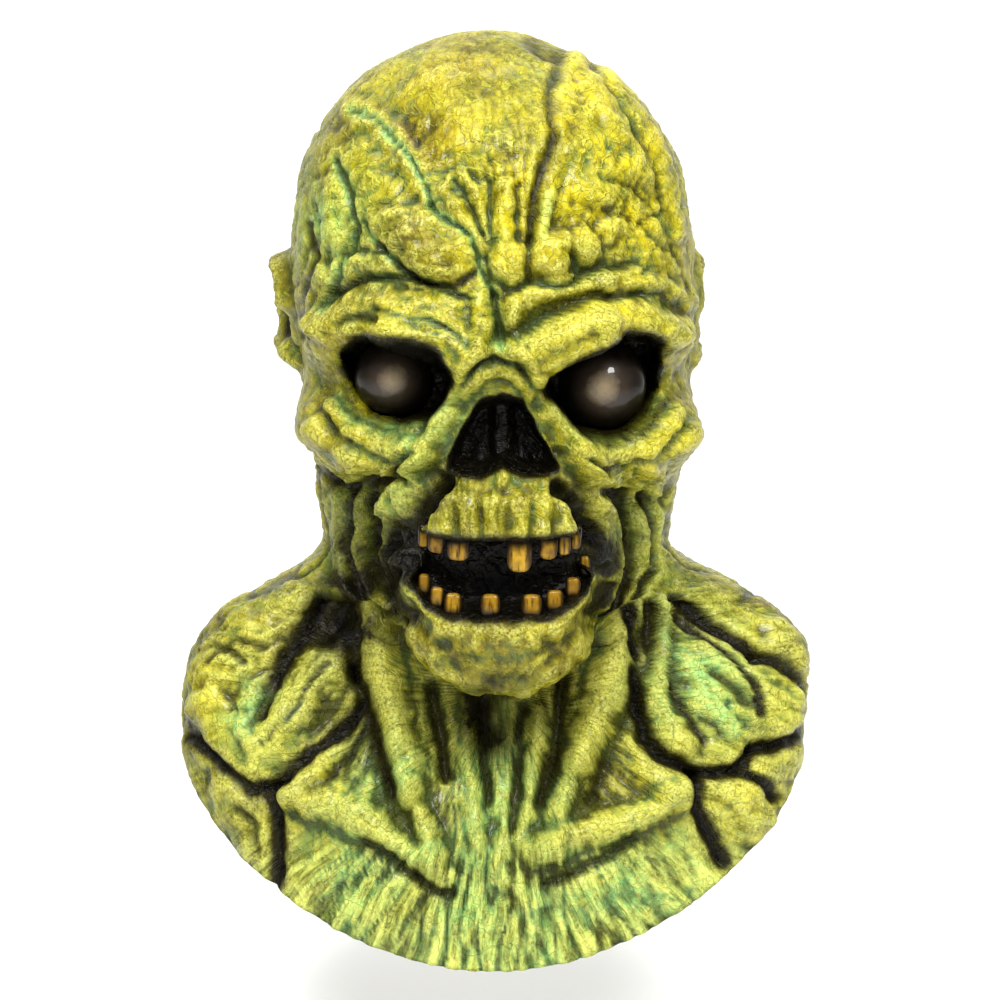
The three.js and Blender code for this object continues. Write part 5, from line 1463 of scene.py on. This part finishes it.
class MaskSettings(bpy.types.PropertyGroup):
    """What can be changed before the mask is built."""

    columns: bpy.props.IntProperty(
        name="Columns",
        description="Points round the skin, a multiple of four",
        default=304,
        min=64,
        max=320,
    )
    rows: bpy.props.IntProperty(
        name="Rows", description="Points from the crown to the cut edge", default=285, min=80, max=300
    )
    wrinkles: bpy.props.FloatProperty(
        name="Wrinkles",
        description="Depth of the wrinkles",
        default=1.0,
        min=0.0,
        max=1.5,
        subtype="FACTOR",
    )
    tooth_sharpness: bpy.props.FloatProperty(
        name="Tooth sharpness", description="How square the teeth are", default=0.3, min=0.0, max=1.0
    )
    tooth_unevenness: bpy.props.FloatProperty(
        name="Tooth unevenness", description="Lumps on the teeth", default=0.0006, unit="LENGTH"
    )
    tooth_swell: bpy.props.FloatProperty(
        name="Tooth swell", description="Extra width of the teeth", default=0.12, subtype="FACTOR"
    )
    seed: bpy.props.IntProperty(name="Seed", description="Picks the teeth's turns and tones", default=4)
    skin_yellow: colour_property("Yellow glaze", "On the forehead, cheekbones and shoulders", "#ccba0a")
    skin_mint: colour_property("Mint glaze", "In the veins, the hollows and on the chest", "#8cc874")
    tooth_amber: colour_property("Amber", "The lightest teeth", "#b48e28")
    pupil_beige: colour_property("Pupil", "The cloudy pupils", "#8d7d63")


class BuildSkin(bpy.types.Operator):
    """Sculpt and paint the latex skin"""

    bl_idname = "mask.build_skin"
    bl_label = "Latex skin"

    def execute(self, context):
        settings = context.scene.ghoul_mask
        columns = settings.columns - settings.columns % INNER_STEP
        skin = Skin(columns, settings.rows, settings.wrinkles)
        new_piece("mask_skin", skin_mesh(skin), painted_latex(settings), ["latex_skin"])
        return {"FINISHED"}


class BuildEyes(bpy.types.Operator):
    """Set the two clouded eyes"""

    bl_idname = "mask.build_eyes"
    bl_label = "Eyes"

    def execute(self, context):
        acrylic = coated_acrylic(context.scene.ghoul_mask)
        for node in ("right_eye", "left_eye"):
            new_piece(node + "ball", eye_mesh(node), acrylic, [node])
        return {"FINISHED"}


class BuildTeeth(bpy.types.Operator):
    """Set both rows of teeth"""

    bl_idname = "mask.build_teeth"
    bl_label = "Teeth"

    def execute(self, context):
        settings = context.scene.ghoul_mask
        resin = amber_resin(settings)
        for prefix, upper in (("upper_tooth_", True), ("lower_tooth_", False)):
            nodes = sorted(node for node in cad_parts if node.startswith(prefix))
            name = prefix.split("_")[0] + "_teeth"
            teeth_piece(name, nodes, upper, settings, resin)
        return {"FINISHED"}


class BuildStudio(bpy.types.Operator):
    """Put up the paper sweep, the lamps and the camera"""

    bl_idname = "mask.build_studio"
    bl_label = "Studio"

    def execute(self, context):
        scene = context.scene
        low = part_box("latex_skin")[0]
        paper_sweep(low[2] - 0.08)
        aim = VIEW_AIM * MM
        for lamp in LAMPS:
            area_light(lamp.name, lamp.place, lamp.aim or aim, lamp.width, lamp.height, lamp.watts)
        world = bpy.data.worlds.new("pale studio")
        world.use_nodes = True
        background = world.node_tree.nodes["Background"]
        background.inputs["Color"].default_value = srgb("#ffffff")
        background.inputs["Strength"].default_value = 0.13
        scene.world = world
        scene.view_settings.view_transform = "Standard"
        camera = bpy.data.cameras.new("camera")
        camera.sensor_width = SENSOR_MM
        camera.lens = FOCAL_PIXELS * SENSOR_MM / PHOTO_SIZE
        eye = bpy.data.objects.new("camera", camera)
        back = Vector((0, -math.cos(VIEW_ELEVATION), math.sin(VIEW_ELEVATION)))
        eye.location = Vector(aim) + back * VIEW_DISTANCE * MM
        eye.rotation_euler = (-back).to_track_quat("-Z", "Y").to_euler()
        scene.collection.objects.link(eye)
        scene.camera = eye
        return {"FINISHED"}


class MaskPanel(bpy.types.Panel):
    """Settings and pieces of the mask"""

    bl_idname = "VIEW3D_PT_ghoul_mask"
    bl_label = "Ghoul mask"
    bl_space_type = "VIEW_3D"
    bl_region_type = "UI"
    bl_category = "Ghoul mask"

    def draw(self, context):
        settings = context.scene.ghoul_mask
        for name in MaskSettings.__annotations__:
            self.layout.prop(settings, name)
        for operator in OPERATORS:
            self.layout.operator(operator.bl_idname)


OPERATORS = [BuildSkin, BuildEyes, BuildTeeth, BuildStudio]
CLASSES = [MaskSettings, *OPERATORS, MaskPanel]


def register():
    for cls in CLASSES:
        bpy.utils.register_class(cls)
    bpy.types.Scene.ghoul_mask = bpy.props.PointerProperty(type=MaskSettings)


def unregister():
    del bpy.types.Scene.ghoul_mask
    for cls in reversed(CLASSES):
        bpy.utils.unregister_class(cls)


def main():
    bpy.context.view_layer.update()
    register()
    bpy.ops.mask.build_skin()
    bpy.ops.mask.build_eyes()
    bpy.ops.mask.build_teeth()
    bpy.ops.mask.build_studio()
    bpy.context.view_layer.update()


if __name__ == "__main__":
    main()
